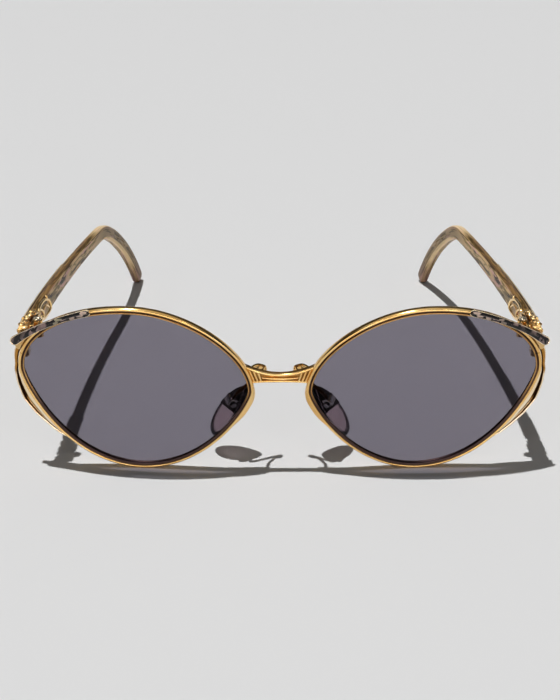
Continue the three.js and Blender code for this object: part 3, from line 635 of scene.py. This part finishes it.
arc = {
    "steps": 150, "inner": 0.56, "slope": 0.22, "wall": -1.0, "endCrest": 0.04, "recess": -0.05,
    "ridge": -0.5, "ridgeShade": 0.25, "beadHeights": (0.66, 0.8), "beadShade": 0.5, "slit": 0.05,
    # shares of the outline
    "crestRise": (0.6, 0.62), "crestFall": (0.785, 0.8), "ridgeRise": (0.612, 0.625),
    "ridgeFall": (0.665, 0.685), "beadRise": (0.61, 0.66), "beadFall": (0.69, 0.74),
    "beadShadeShares": (0.715, 0.745),
    # share of the outline, end of the band, start of the bead, end of the bead
    "stops": ((0.800, 1.30, 1.50, 2.30), (0.787, 1.41, 1.62, 2.75), (0.757, 1.25, 1.50, 2.35),
              (0.730, 1.6, 2.25, 2.95), (0.700, 2.05, 3.15, 3.75), (0.675, 2.35, 3.85, 4.45),
              (0.652, 1.95, 3.40, 4.12), (0.631, 1.70, 2.60, 3.50), (0.613, 1.35, 1.95, 2.75),
              (0.605, 1.2, 1.5, 2.0), (0.600, 1.1, 1.25, 1.5)),
}


def betweenStops(stops, share):
    for (a, *low), (b, *high) in zip(stops, stops[1:]):
        if a >= share >= b:
            straight = (a - share) / (a - b)
            t = mix(smoothStep(0, 1, straight), straight, 0.6)
            return [mix(x, y, t) for x, y in zip(low, high)]
    return list(stops[-1][1:])


def arcSection(share):
    bandEnd, bead, outer = betweenStops(arc["stops"], share)
    inner, wall, low = arc["inner"], arc["wall"], arc["recess"]
    ends = swellBetween(arc["crestRise"], arc["crestFall"], share)
    crest = wall - mix(arc["endCrest"], arc["slope"] * (bandEnd - inner), ends)
    strip = swellBetween(arc["ridgeRise"], arc["ridgeFall"], share)
    # the recess is dark with painted shade, and the ridge in it gets less of it
    ridge, wearAndShade = mix(low, arc["ridge"], strip), mix(1, arc["ridgeShade"], strip)
    beadTop = -mix(*arc["beadHeights"], swellBetween(arc["beadRise"], arc["beadFall"], share))
    # painted shade on the upper part of the outer bead
    beadShade = arc["beadShade"] * smoothStep(*arc["beadShadeShares"], share)

    def across(part):
        return mix(inner, bandEnd, part)

    def gap(part):
        return mix(bandEnd + arc["slit"], bead - arc["slit"], part)

    def over(part):
        return mix(bead, outer, part)

    # reach, depth, painted shade
    band = [(inner, 0.5, 0.5), (inner, -0.6, 0.9), (across(0.05), -0.92, 0.5), (across(0.13), wall, 0.1)]
    for part, rise in ((0.25, 0.25), (0.4, 0.5), (0.55, 0.76), (0.68, 0.95), (0.78, 1), (0.87, 0.7)):
        band.append((across(part), mix(wall, crest, rise), 0))
    return (*band, (across(0.95), -0.8, 0.1), (bandEnd, -0.42, 0.9),
            (gap(0), low, 1), (gap(0.3), low, 1), (gap(0.42), ridge, wearAndShade), (gap(0.72), ridge, wearAndShade),
            (gap(0.82), low, 1), (gap(1), low, 1), (bead, -0.36, 0.9),
            (over(0.12), beadTop + 0.14, beadShade), (over(0.35), beadTop, beadShade),
            (over(0.65), beadTop, beadShade), (over(0.88), beadTop + 0.16, 0),
            (outer, -0.3, 0), (outer, 0.3, 0), (outer - 0.15, 0.6, 0))


def makeArcs():
    upper, lower = arc["stops"][0][0], arc["stops"][-1][0]
    rings, dark = [], []
    for i in range(arc["steps"] + 1):
        share = mix(upper, lower, i / arc["steps"])
        section = arcSection(share)
        rings.append([onFront(offOutline(share, reach), depth) for reach, depth, _ in section])
        dark.append([paintedShade for _, _, paintedShade in section])
    marks = {"paintedShade": lambda row, column: dark[row][column]}
    # the band's pale gold is a lighter copy of the gold, a painted highlight along the band
    bothSides(rings, "arc_band", (paleGold, "front", "gold"), "outer_arc", 60, marks=marks)


makeArcs()


# Nasal crescents

crescent = {
    "start": 0.226, "end": 0.375, "width": 0.95, "thickness": 1.5, "steps": 70, "sink": 0.1,
    "rise": (0.232, 0.300), "fall": (0.318, 0.375), "heights": (0.95, 1.4),
    # share of the width, share of the height in front
    "faces": ((0.2, 0.96), (0.45, 1), (0.7, 0.86), (0.88, 0.6)),
}


def makeCrescents():
    rings = []
    half = crescent["thickness"] / 2
    inner = front["wireWidth"] / 2
    for i in range(crescent["steps"] + 1):
        share = mix(crescent["start"], crescent["end"], i / crescent["steps"])
        swell = swellBetween(crescent["rise"], crescent["fall"], share)
        outer = front["wireWidth"] - crescent["sink"] + (crescent["width"] + crescent["sink"]) * swell
        high = half * mix(*crescent["heights"], swell)
        section = [(inner, half), (inner, -half * 0.9),
                   *((mix(inner, outer, part), -high * rise) for part, rise in crescent["faces"]),
                   (outer, -half * 0.1), (outer, half * 0.4), (mix(inner, outer, 0.8), half)]
        rings.append([onFront(offOutline(share, reach), depth) for reach, depth in section])
    bothSides(rings, "nose_crescent", (gold, "front", "gold"), "nasal_crescent", 50)


makeCrescents()
print("arcs and crescents shaped")


# Bridge: a recessed web, an arched rail above, a fine ridge, a foot rail and flutes beside each rim

bridge = {
    "shoulder": 0.190, "foot": 0.233, "crown": 5.05, "reach": 0.75, "depth": 1.8, "railInset": 0.62,
    "steps": 20, "webInset": 0.5, "webMargin": 0.2, "webDrop": 0.35, "archRadius": 0.38, "archLift": 0.1,
    "footRadius": 0.3, "footRise": 0.25, "footOverlap": 0.1, "ridgeRadii": (0.38, 0.12),
    "ridgeShort": 2.6, "ridgeShare": 0.42, "ridgeSink": 0.1, "flutes": 3, "fluteRadius": 0.29,
    "fluteStart": 0.35, "fluteSpread": 2.7, "fluteFoot": (0.35, 0.45), "fluteHeads": (0.055, 0.19),
    "fluteDrop": 0.75, "fluteSink": 0.08, "fluteSteps": 6,
}


def smoothPath(points, steps):
    line = []
    padded = [points[0] * 2 - points[1], *points, points[-1] * 2 - points[-2]]
    for i in range(1, len(padded) - 2):
        p0, p1, p2, p3 = padded[i - 1:i + 3]
        for k in range(steps):
            t = k / steps
            line.append(0.5 * (2 * p1 + (p2 - p0) * t + (2 * p0 - 5 * p1 + 4 * p2 - p3) * t * t
                               + (3 * p1 - p0 - 3 * p2 + p3) * t ** 3))
    line.append(points[-1])
    return line


def makeBridge():
    upper = offOutline(bridge["shoulder"], bridge["reach"])
    lower = offOutline(bridge["foot"], bridge["reach"])
    control = 2 * bridge["crown"] - upper.y
    rear = frontDepth(lower.x, lower.y) + bridge["depth"] / 2
    railFront = rear - bridge["depth"] + bridge["railInset"]
    webFront = railFront + bridge["webInset"]
    steps = bridge["steps"]

    def arch(t):
        return Vector((upper.x * (1 - 2 * t), upper.y * ((1 - t) ** 2 + t * t) + control * 2 * t * (1 - t)))

    def placed(x, z, depth):
        return frontMatrix @ Vector((x, depth, z))

    top = [arch(i / (2 * steps)) for i in range(2 * steps + 1)]
    rings = []
    for point in top:
        side = min(1.0, abs(point.x) / lower.x)
        low = lower.y + bridge["footRise"] * (1 - side * side)
        if abs(point.x) > lower.x:
            share = (abs(point.x) - lower.x) / (upper.x - lower.x)
            low = mix(lower.y, upper.y - bridge["webDrop"], share)
        high, low = point.y - bridge["webMargin"], low + bridge["webMargin"]
        corners = ((high, rear), (high, webFront), (low, webFront), (low, rear))
        rings.append([placed(point.x, z, depth) for z, depth in corners])
    # the web is in a darker copy of the gold: painted shade in the recess between the rails
    pieceFrom(ringMesh(rings), "", "bridge_web", (bridgeShade, "front", "gold"), None, 30)

    archRadius, footRadius = bridge["archRadius"], bridge["footRadius"]
    spread = [i / steps for i in range(-steps, steps + 1)]
    archFront = railFront - bridge["archLift"]
    archLine = [placed(point.x, point.y - archRadius, archFront) for point in top[1:-1]]
    footLine, ridgeLine = [], []
    for s in spread:
        x = (lower.x + bridge["footOverlap"]) * s
        z = lower.y + footRadius + bridge["footRise"] * (1 - s * s)
        footLine.append(placed(x, z, railFront))
        x = (lower.x - bridge["ridgeShort"]) * s
        ceiling = arch(0.5 - x / (2 * upper.x)).y - 2 * archRadius
        z = mix(lower.y + 2 * footRadius, ceiling, bridge["ridgeShare"])
        ridgeLine.append(placed(x, z, railFront + bridge["ridgeSink"]))
    lines = [archLine, footLine, ridgeLine]
    radii = [[archRadius] * len(archLine), [footRadius] * len(footLine),
             [mix(*bridge["ridgeRadii"], s * s) for s in spread]]
    shares = [k / bridge["fluteSteps"] for k in range(bridge["fluteSteps"] + 1)]
    footIn, footUp = bridge["fluteFoot"]
    firstHead, headSpread = bridge["fluteHeads"]
    for side in (-1, 1):
        for i in range(bridge["flutes"]):
            share = (i + bridge["fluteStart"]) / bridge["flutes"]
            foot = Vector((lower.x - footIn - share * bridge["fluteSpread"], lower.y + footUp))
            head = arch(firstHead + share * headSpread) - Vector((0, bridge["fluteDrop"]))
            lines.append([placed(side * mix(foot.x, head.x, t), mix(foot.y, head.y, t),
                                 railFront + bridge["fluteSink"]) for t in shares])
            radii.append([bridge["fluteRadius"]] * len(shares))
    wirePiece("", "bridge_rails", lines, 1.0, (gold, "front", "gold"), "bridge", radii)


makeBridge()
print("bridge drawn")


# Nose pads: a clear moulded pad, a dark plate in it, and a gooseneck arm

pad = {
    "middle": (13.5, 10.4, -9.8), "spread": 33.5, "splay": 28, "length": 18.4, "width": 7.8,
    "thickness": 2.2, "lower": 0.58, "swell": 0.36, "turns": 72,
    # share of the way to the rim, share of the thickness
    "profile": ((0.0, 0.0), (0.3, 0.0), (0.6, 0.0), (0.8, -0.02), (0.9, -0.08), (0.965, -0.2), (1.0, -0.4),
                (0.985, -0.58), (0.93, -0.74), (0.82, -0.85), (0.66, -0.92), (0.45, -0.97), (0.2, -1.0),
                (0.0, -1.0)),
}
padPlate = {
    "turns": 60, "sweep": 1.99, "cut": -0.9, "slant": 0.42, "short": 0.9, "widths": (0.80, 0.93),
    "heart": 1.2,
    "layers": ((0.12, 1.0), (0.5, 1.0), (0.62, 0.96), (0.66, 0.88)),  # height over the pad, size
}
padArm = {
    "share": 0.218, "startBack": 0.95, "radius": 0.58, "around": 16, "back": 4.4, "swing": 3.8,
    "firstBack": 0.5, "boxAcross": 1.3, "boxEnd": 4.46, "tongueAt": 0.24, "tongueLength": 0.21,
    "tongueHigh": (0.85, 1.75), "tongueWide": (0.85, 0.72), "endHigh": 0.85, "darkens": (0.5, 0.6),
    "endEases": (0.6, 1), "pathSteps": 10,
    "eyeAt": 0.36, "eyeSize": 0.62, "eyeFront": 0.66, "eyeRadius": 0.16,
    # swing, back and drop from the rim, then across, away and above from the box
    "rootBends": ((0.1, 0.45, 0.25), (0.53, 1, 0.85), (1, 1.18, 1.75), (0.84, 1.23, 3.2)),
    "boxBends": ((1, 2.6, 2.6), (0.1, 2.0, 1.2), (0, 1.9, -0.2)),
}


def padMatrix():
    spread, splay = radians(pad["spread"]), radians(pad["splay"])
    up = Vector((-sin(spread), 0, cos(spread)))
    forward = Vector((-sin(splay), -cos(splay), 0))
    away = up.cross(forward).normalized()
    forward = away.cross(up)
    turned = Matrix((forward, away, up)).transposed().to_4x4()
    return Matrix.Translation(Vector(pad["middle"])) @ turned


padPlace = frontMatrix @ padMatrix()


def padOutline(angle):  # 0 is the top
    up = cos(angle)
    reach = pad["length"] * (pad["lower"] if up < 0 else 1 - pad["lower"])
    return sin(angle) * pad["width"] / 2 * (1 - pad["swell"] * up), up * reach


def makePads():
    rings = []
    for turn in range(pad["turns"]):
        x, z = padOutline(2 * pi * turn / pad["turns"])
        rings.append([padPlace @ Vector((share * x, depth * pad["thickness"], share * z))
                      for share, depth in pad["profile"]])
    rings.append(rings[0])
    marks = {"run": lambda row, column: pad["profile"][column][0]}
    look = (silicone, "pad", "pad_silicone")
    bothSides(rings, "clear_pad", look, "nose_pad", 60, closed=False, caps=False, marks=marks)


def makePadPlates():
    outline = []
    for i in range(padPlate["turns"] + 1):
        angle = mix(-padPlate["sweep"], padPlate["sweep"], i / padPlate["turns"])
        x, z = padOutline(angle)
        x *= padPlate["widths"][angle > 0]
        outline.append((x, max(padPlate["cut"] + padPlate["slant"] * x, z * padPlate["short"])))
    rings = [[padPlace @ Vector((x * size, away, mix(padPlate["heart"], z, size))) for x, z in outline]
             for away, size in padPlate["layers"]]
    bothSides(rings, "pad_plate", (darkPlate, "pad", "screw_steel"), "pad_insert")


def padArmLine():
    root = offOutline(padArm["share"], front["wireWidth"] / 2)
    start = Vector((root.x, frontDepth(root.x, root.y) + padArm["startBack"], root.y))
    points = [start]
    for swing, back, drop in padArm["rootBends"]:
        behind = padArm["firstBack"] + back * padArm["back"]
        points.append(start + Vector((-swing * padArm["swing"], behind, -drop)))
    for across, away, above in padArm["boxBends"]:
        points.append(padMatrix() @ Vector((padArm["boxAcross"] + across, away, padArm["boxEnd"] + above)))
    return [frontMatrix @ point for point in smoothPath(points, padArm["pathSteps"])]


def makePadArms():
    line = padArmLine()
    count = len(line) - 1
    radius, around = padArm["radius"], padArm["around"]
    rings = []
    for i, point in enumerate(line):
        t = i / count
        along = (line[min(count, i + 1)] - line[max(0, i - 1)]).normalized()
        across = along.cross(Vector((0, 0, 1))).normalized()
        upward = across.cross(along)
        tongue = exp(-((t - padArm["tongueAt"]) / padArm["tongueLength"]) ** 2)
        ending = mix(1, padArm["endHigh"], smoothStep(*padArm["endEases"], t))
        high = radius * mix(*padArm["tongueHigh"], tongue) * ending
        wide = radius * mix(*padArm["tongueWide"], tongue)
        angles = [k / around * 2 * pi for k in range(around)]
        rings.append([point + across * wide * cos(a) + upward * high * sin(a) for a in angles])
    eye, size = line[int(count * padArm["eyeAt"])], padArm["eyeSize"]
    ring = [eye + Vector((size * cos(k / 4 * pi), -radius * padArm["eyeFront"],
                          size * sin(k / 4 * pi))) for k in range(9)]
    # painted shade: the arm darkens towards the box, where it runs in the dark behind the pad
    marks = {"paintedShade": lambda row, column: smoothStep(*padArm["darkens"], row / count)}
    for side in sides:
        mesh = ringMesh(rings, marks=marks)
        pieceFrom(mesh, side, "pad_gooseneck", (gold, "front", "gold"), "pad_arm", 60)
        # the eye is a dark ring in shadow gold, painted shade where the wire loops
        wirePiece(side, "pad_arm_eye", [ring], padArm["eyeRadius"], (shadowGold, "front", "gold"))


makePadPlates()
makePads()
makePadArms()
print("nose pads moulded")


# Temples: a pearl sleeve with a bent tip, and a gilt ferrule with leaf and scrolls on both faces

temple = {
    "hinge": (62.475, -54.920, 37.884), "slope": -3.26, "middle": 2.975, "straight": 81.5, "bendRadius": 24,
    "bendAngle": 25.5, "tip": 43, "tipRadius": 74, "bow": 640, "thickness": 3.0, "height": 5.6,
    "waist": 4.7, "tipThickness": 3.1, "tipHeight": 4.8, "rounding": 3.0, "start": 4.85,
    "startSize": 0.93, "startLength": 0.5, "tongueEnd": 21.1, "squareness": 0.62, "steps": 150,
    "tipSteps": 10, "around": 36, "waistBy": 0.45, "tipEases": (0.6, 0.85), "tipTurn": 1.5,
    "tipLeft": 0.003, "faceLimit": 0.97,
}
hingePlace = placement(temple["hinge"], temple["slope"])
bendAngle = radians(temple["bendAngle"])
bendEnd = temple["straight"] + temple["bendRadius"] * bendAngle
armLength = bendEnd + temple["tip"]


def onArm(across, up, length):
    bend = min(max((length - temple["straight"]) / temple["bendRadius"], 0), bendAngle)
    drop = bend + max(0, length - bendEnd) / temple["tipRadius"]
    along = (min(length, temple["straight"]) + temple["bendRadius"] * sin(bend)
             + temple["tipRadius"] * (sin(drop) - sin(bend)))
    down = (temple["bendRadius"] * (1 - cos(bend))
            + temple["tipRadius"] * (cos(bend) - cos(drop)))
    y = along + up * sin(drop)
    z = up * cos(drop) - down
    return hingePlace @ Vector((temple["middle"] + across - y * y / (2 * temple["bow"]), y, z))


def armHalf(length):
    share = min(1, max(0, (length - temple["tongueEnd"]) / (armLength - temple["tongueEnd"])))
    high = mix(temple["height"], temple["waist"], smoothStep(0, temple["waistBy"], share))
    return (mix(temple["thickness"], temple["tipThickness"], share) / 2,
            mix(high, temple["tipHeight"], smoothStep(*temple["tipEases"], share)) / 2)


# angle 0 is the outer face, a quarter turn is the top
def onSkin(angle, length, size, power=temple["squareness"]):
    c, s = cos(angle), sin(angle)
    wide, high = armHalf(length)
    return onArm(copysign(abs(c) ** power, c) * wide * size,
                 copysign(abs(s) ** power, s) * high * size, length)


def armRing(length, size, power=temple["squareness"]):
    angles = [2 * pi * k / temple["around"] for k in range(temple["around"])]
    return [onSkin(angle, length, size, power) for angle in angles]


def skinAt(up, length):  # half the sleeve's width at a height on its section
    wide, high = armHalf(length)
    power = temple["squareness"]
    share = min(temple["faceLimit"], abs(up) / high)
    return wide * (1 - share ** (2 / power)) ** (power / 2)


def makeSleeves():
    start, rounding, count = temple["start"], temple["rounding"], temple["steps"]
    roundingStart = armLength - rounding
    stops = [mix(start, roundingStart, i / count) for i in range(count)]
    for i in range(temple["tipSteps"] + 1):
        stops.append(roundingStart + rounding * sin(i / temple["tipSteps"] * temple["tipTurn"]))
    rings = []
    for length in stops:
        past = max(0, length - roundingStart) / rounding
        rounded = sqrt(max(temple["tipLeft"], 1 - past ** 2))
        eased = mix(temple["startSize"], 1, smoothStep(start, start + temple["startLength"], length))
        rings.append(armRing(length, eased * rounded))
    marks = {"run": lambda row, column: stops[row], "over": lambda row, column: column / temple["around"]}
    bothSides(rings, "pearl_sleeve", (pearl, "temple", "pearl_plastic"), "temple_sleeve", 60, marks=marks)


leaf = {
    # length along the arm, height on its face
    "outline": ((9.4, -0.9), (12.5, -1.75), (15.7, -2.25), (18.8, -2.3), (20.5, -1.6), (20.0, 0.1),
                (18.6, 1.4), (16.4, 2.3), (13.7, 2.5), (10.9, 2.45), (9.0, 2.1), (8.4, 1.0), (8.8, -0.1)),
    "vein": ((8.9, 2.2), (10.6, 1.6), (12.0, 0.6), (12.3, -0.5), (11.2, -1.0), (10.2, -0.5), (10.5, 0.2)),
    "rib": ((12.6, 0.4), (14.6, 0.9), (16.8, 0.6), (18.6, -0.6)),
    # middle, radius, turns, start angle
    "curls": (((6.1, 1.3), 1.15, -1.3, 2.6), ((6.4, -1.25), 1.05, 1.3, 3.6), ((3.4, 0.9), 1.25, 1.35, 0.4),
              ((3.2, -1.5), 0.95, -1.3, 0.9), ((1.2, 1.4), 0.85, -1.2, 3.4), ((1.0, -0.9), 0.9, 1.2, 5.2)),
    "topCurls": (((1.7, 0.15), 0.95, 1.2, 0.5), ((4.1, -0.25), 0.95, -1.25, 2.2),
                 ((6.3, 0.1), 0.8, 1.15, 4.1)),
    "edgeRadius": 0.42, "curlRadius": 0.36, "ribRadius": 0.252, "curlHeart": 0.3, "lift": 0.1,
    "curlSteps": 18, "pathSteps": 6,  # of one turn, and between two points
    "topLift": 0.08, "ball": (18.4, 2.35, 0.5), "ballLift": 0.05,  # the ball's length, height and radius
    "faces": ((-1, 1.0), (1, 0.74)),  # the outer face is squashed, to leave room for the gold edge line
}
edgeLine = {"turn": 46, "size": 1.02, "span": (0.3, 46), "radii": (0.40, 0.20), "steps": 60}
# the shade line is a dark wire in shadow gold along the sleeve's top: painted shade beside the gold edge
# line
shadeLine = {"turn": 67, "size": 0.96, "span": (5.6, 40), "radii": (0.36, 0.108), "steps": 60}


def spiral(middle, radius, turns, start):
    steps = int(leaf["curlSteps"] * abs(turns))
    points = []
    for i in range(steps + 1):
        t = i / steps
        angle = start + turns * 2 * pi * t
        r = radius * mix(leaf["curlHeart"], 1, t)
        points.append((middle[0] + r * cos(angle), middle[1] + r * sin(angle)))
    return points


def leafLines():
    closed = (*leaf["outline"], leaf["outline"][0])
    paths = ((closed, "edgeRadius"), (leaf["vein"], "curlRadius"), (leaf["rib"], "ribRadius"))
    lines = []
    for path, radius in paths:
        points = [Vector(point) for point in path]
        lines.append((smoothPath(points, leaf["pathSteps"]), leaf[radius]))
    return lines + [(spiral(*curl), leaf["curlRadius"]) for curl in leaf["curls"]]


def onFace(face, squash, length, up, lift):
    return onArm(face * (skinAt(up * squash, length) + lift), up * squash, length)


def scrollLines():
    lines, radii = [], []
    turn = [pi * k / 8 for k in range(9)]
    for face in leaf["faces"]:
        for flat, radius in leafLines():
            lines.append([onFace(*face, length, up, leaf["lift"]) for length, up in flat])
            radii.append([radius] * len(flat))
        length, up, radius = leaf["ball"]
        lines.append([onFace(*face, length - radius * cos(a), up, leaf["ballLift"]) for a in turn])
        radii.append([max(0.05, radius * sin(a)) for a in turn])
    for curl in leaf["topCurls"]:
        flat = spiral(*curl)
        lines.append([onArm(across, armHalf(length)[1] + leaf["topLift"], length)
                      for length, across in flat])
        radii.append([leaf["curlRadius"]] * len(flat))
    return lines, radii


def skinWire(side, name, finish, line):
    shares = [i / line["steps"] for i in range(line["steps"] + 1)]
    points = [onSkin(radians(line["turn"]), mix(*line["span"], t), line["size"]) for t in shares]
    radii = [mix(*line["radii"], t) for t in shares]
    wirePiece(side, name, [points], 1.0, (finish, "temple", "gold"), None, [radii])


def makeFerrules():
    lines, radii = scrollLines()
    for side in sides:
        skinWire(side, "edge_line", edgeGold, edgeLine)
        wirePiece(side, "ferrule_scrolls", lines, 1.0, (scrollGold, "temple", "gold"), None, radii)
        skinWire(side, "ferrule_shade", shadowGold, shadeLine)


collar = {
    "squareness": 0.6,
    # length along the arm, size against the sleeve
    "rings": ((0.12, 0.90), (0.2, 0.96), (0.45, 1.0), (3.9, 1.0), (4.9, 1.01), (6.2, 1.02),
              (6.9, 1.03), (7.2, 1.03), (7.4, 1.015), (7.5, 0.98)),
}


def makeCollars():
    rings = [armRing(length, size, collar["squareness"]) for length, size in collar["rings"]]
    # the collar is dark gilt: painted shade between the scrolls laid on it
    bothSides(rings, "ferrule_collar", (collarShadeGilt, "temple", "gold"), "temple_ferrule", 50)


# middle, radius, turns and start of the curls on the endpiece's top and front, in the hinge's frame
endCurls = {
    "top": (((3.45, -2.2), 0.95, 1.25, 0.6), ((3.1, -0.75), 0.7, -1.2, 3.6)), "topHeight": 2.78,
    "face": (((2.6, 1.75), 0.62, -1.2, 0.4), ((4.0, 1.45), 0.62, 1.2, 2.8)), "faceDepth": -3.45,
    "radius": 0.3,
}


def makeEndCurls():
    lines = []
    for curl in endCurls["top"]:
        lines.append([hingePlace @ Vector((x, y, endCurls["topHeight"])) for x, y in spiral(*curl)])
    for curl in endCurls["face"]:
        lines.append([hingePlace @ Vector((x, endCurls["faceDepth"], z)) for x, z in spiral(*curl)])
    for side in sides:
        wirePiece(side, "endpiece_curls", lines, endCurls["radius"], (scrollGold, "front", "gold"))


makeSleeves()
makeFerrules()
makeCollars()
makeEndCurls()
print("temples dressed")


# Small metal parts: the solids with their edges rounded

smallParts = {  # rounding, finish, body, slot
    "endpiece": (0.22, softGold, "front", "gold"),
    # the closing block and its screw are in satin gold, a lighter copy that offsets the shade they sit in
    # behind the lens: painted light
    "closing_block": (0.15, satinGold, "front", "gold"),
    "closing_screw": (0.08, satinGold, "front", "screw_steel"),
    "pad_box": (0.1, darkSteel, "front", "gold"),
    "pad_screw": (0.08, darkSteel, "front", "screw_steel"),
    "pad_insert": (0.08, darkSteel, "pad", "screw_steel"),
    "hinge_front_leaf": (0.1, gold, "front", "gold"),
    "hinge_screw": (0.1, giltSteel, "front", "screw_steel"),
    "hinge_temple_leaf": (0.1, gold, "temple", "gold"),
}
softEdges = {"sameFace": 3, "sharp": 35, "lugFoot": 0.64}  # two angles in degrees, a height in mm


def cleanCopy(node):
    mesh = bmesh.new()
    mesh.from_mesh(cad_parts[node].data)
    bmesh.ops.remove_doubles(mesh, verts=mesh.verts, dist=1e-6)
    bmesh.ops.dissolve_limit(mesh, angle_limit=radians(softEdges["sameFace"]), verts=mesh.verts,
                             edges=mesh.edges)
    return mesh


def roundEdges(mesh, width):
    sharp = radians(softEdges["sharp"])
    edges = [edge for edge in mesh.edges if edge.is_manifold and edge.calc_face_angle(0) > sharp]
    bmesh.ops.bevel(mesh, geom=edges, offset=width * mm, segments=2, profile=0.5, affect="EDGES",
                    clamp_overlap=True)


# the insert's solid holds a plate and a lug: the plate is drawn above, so only the lug is kept
def cutToLug(mesh, side):
    flip = Vector((sides[side], 1, 1))
    foot = (padPlace @ Vector((0, softEdges["lugFoot"], 0))) * mm
    facing = padPlace.to_3x3() @ Vector((0, 1, 0))
    bmesh.ops.bisect_plane(mesh, geom=[*mesh.verts, *mesh.edges, *mesh.faces], plane_co=foot * flip,
                           plane_no=facing * flip, clear_inner=True)
    bmesh.ops.holes_fill(mesh, edges=[edge for edge in mesh.edges if edge.is_boundary])


for side in sides:
    for part, (width, *look) in smallParts.items():
        mesh = cleanCopy(sided(side, part))
        name, node = part + "_rounded", part
        if part == "pad_insert":
            cutToLug(mesh, side)
            name, node = "pad_lug", None  # the plate already replaces the insert
        roundEdges(mesh, width)
        dressed(meshData(mesh, sided(side, name)), side, name, look, node)
    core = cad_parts[sided(side, "temple_core")].data
    core.materials.clear()
    core.materials.append(giltSteel)
print("small parts rounded")


# Stage, light and camera

stage = {
    "floorSize": 6.0, "floorColour": (0.80, 0.80, 0.80), "skyGlow": ((0.5, 0.015), (0.93, 0.15)),
    "backdrop": ((0.0, 0.62), (0.10, 0.62), (0.20, 0.04), (0.58, 0.04), (0.84, 0.60)),  # height, brightness
    "beamLean": 9.0, "beamHeight": 1.2, "beamSize": 6.0, "beamPower": 88.0, "beamSpread": 1.2,
    "frontPower": 0.30, "frontSize": 0.08, "frontPlace": (0.42, -0.75, 0.62), "frontAim": (0, -0.03, 0.02),
    "stripPower": 1.05, "stripSize": (1.1, 0.13), "stripPlace": (0, -0.50, 0.12), "stripTilt": 100,
    "stripSpread": 130,
}
view = {
    "aim": (0.0, -0.06578, 0.03786), "distance": 0.260, "elevation": 27, "lens": 53.64, "sensor": 36,
    "clip": (0.01, 20),
}


def makeFloor():
    half = stage["floorSize"] / 2
    data = bpy.data.meshes.new("floor")
    corners = [(-half, -half, 0), (half, -half, 0), (half, half, 0), (-half, half, 0)]
    data.from_pydata(corners, [], [range(4)])
    paint = Paint("pale floor")
    matt = paint.skin(Base_Color=stage["floorColour"], Roughness=0.9, Specular_IOR_Level=0.0)
    data.materials.append(paint.done(matt))
    addObject("floor", data)


def makeWorld():
    world = bpy.data.worlds.new("studio")
    bpy.context.scene.world = world
    world.use_nodes = True
    tree = world.node_tree
    tree.nodes.clear()
    where = addNode(tree, "ShaderNodeTexCoord")
    split = addNode(tree, "ShaderNodeSeparateXYZ", None, {0: where.outputs["Generated"]})

    def glow(stops):
        ramp = addNode(tree, "ShaderNodeValToRGB", None, {0: split.outputs["Z"]})
        while len(ramp.color_ramp.elements) < len(stops):
            ramp.color_ramp.elements.new(0.5)
        for element, (place, value) in zip(ramp.color_ramp.elements, stops):
            element.position, element.color = place, (value, value, value, 1)
        return addNode(tree, "ShaderNodeBackground", None, {"Color": ramp.outputs[0]}).outputs[0]

    path = addNode(tree, "ShaderNodeLightPath").outputs
    seen = path["Is Camera Ray"]
    for kind in ("Is Glossy Ray", "Is Transmission Ray"):
        either = addNode(tree, "ShaderNodeMath", {"operation": "MAXIMUM"}, {0: seen, 1: path[kind]})
        seen = either.outputs[0]
    both = addNode(tree, "ShaderNodeMixShader", None,
                   {0: seen, 1: glow(stage["skyGlow"]), 2: glow(stage["backdrop"])})
    addNode(tree, "ShaderNodeOutputWorld", None, {"Surface": both.outputs[0]})


def addLamp(name, place, turn, energy, **settings):
    data = bpy.data.lights.new(name, "AREA")
    data.energy = energy
    for key, value in settings.items():
        setattr(data, key, value)
    lamp = addObject(name, data)
    lamp.location, lamp.rotation_euler = place, turn
    return lamp


def makeLight():
    lean, height, size = radians(stage["beamLean"]), stage["beamHeight"], stage["beamSize"]
    addLamp("beam", (-height * tan(lean), 0.0, height), (0, -lean, 0), stage["beamPower"],
            shape="RECTANGLE", size=size, size_y=size, spread=radians(stage["beamSpread"]))
    x, y, z = stage["frontPlace"]
    for side, sign in sides.items():
        place = Vector((sign * x, y, z))
        turn = (Vector(stage["frontAim"]) - place).to_track_quat("-Z", "Y").to_euler()
        addLamp(side + "_front", place, turn, stage["frontPower"], size=stage["frontSize"])
    wide, high = stage["stripSize"]
    strip = addLamp("low_strip", stage["stripPlace"], (radians(stage["stripTilt"]), 0, 0),
                    stage["stripPower"], shape="RECTANGLE", size=wide, size_y=high,
                    spread=radians(stage["stripSpread"]))
    strip.visible_diffuse = False  # a card for the metal to reflect, which leaves the floor even


def makeCamera():
    data = bpy.data.cameras.new("photo_camera")
    data.lens, data.sensor_width = view["lens"], view["sensor"]
    data.clip_start, data.clip_end = view["clip"]
    camera = addObject("photo_camera", data)
    angle = radians(view["elevation"])
    back = Vector((0, -cos(angle), sin(angle)))
    camera.location = Vector(view["aim"]) + back * view["distance"]
    camera.rotation_euler = (-back).to_track_quat("-Z", "Y").to_euler()
    bpy.context.scene.camera = camera


makeFloor()
makeWorld()
makeLight()
makeCamera()
bpy.context.scene.view_settings.view_transform = "Standard"
print("stage set")
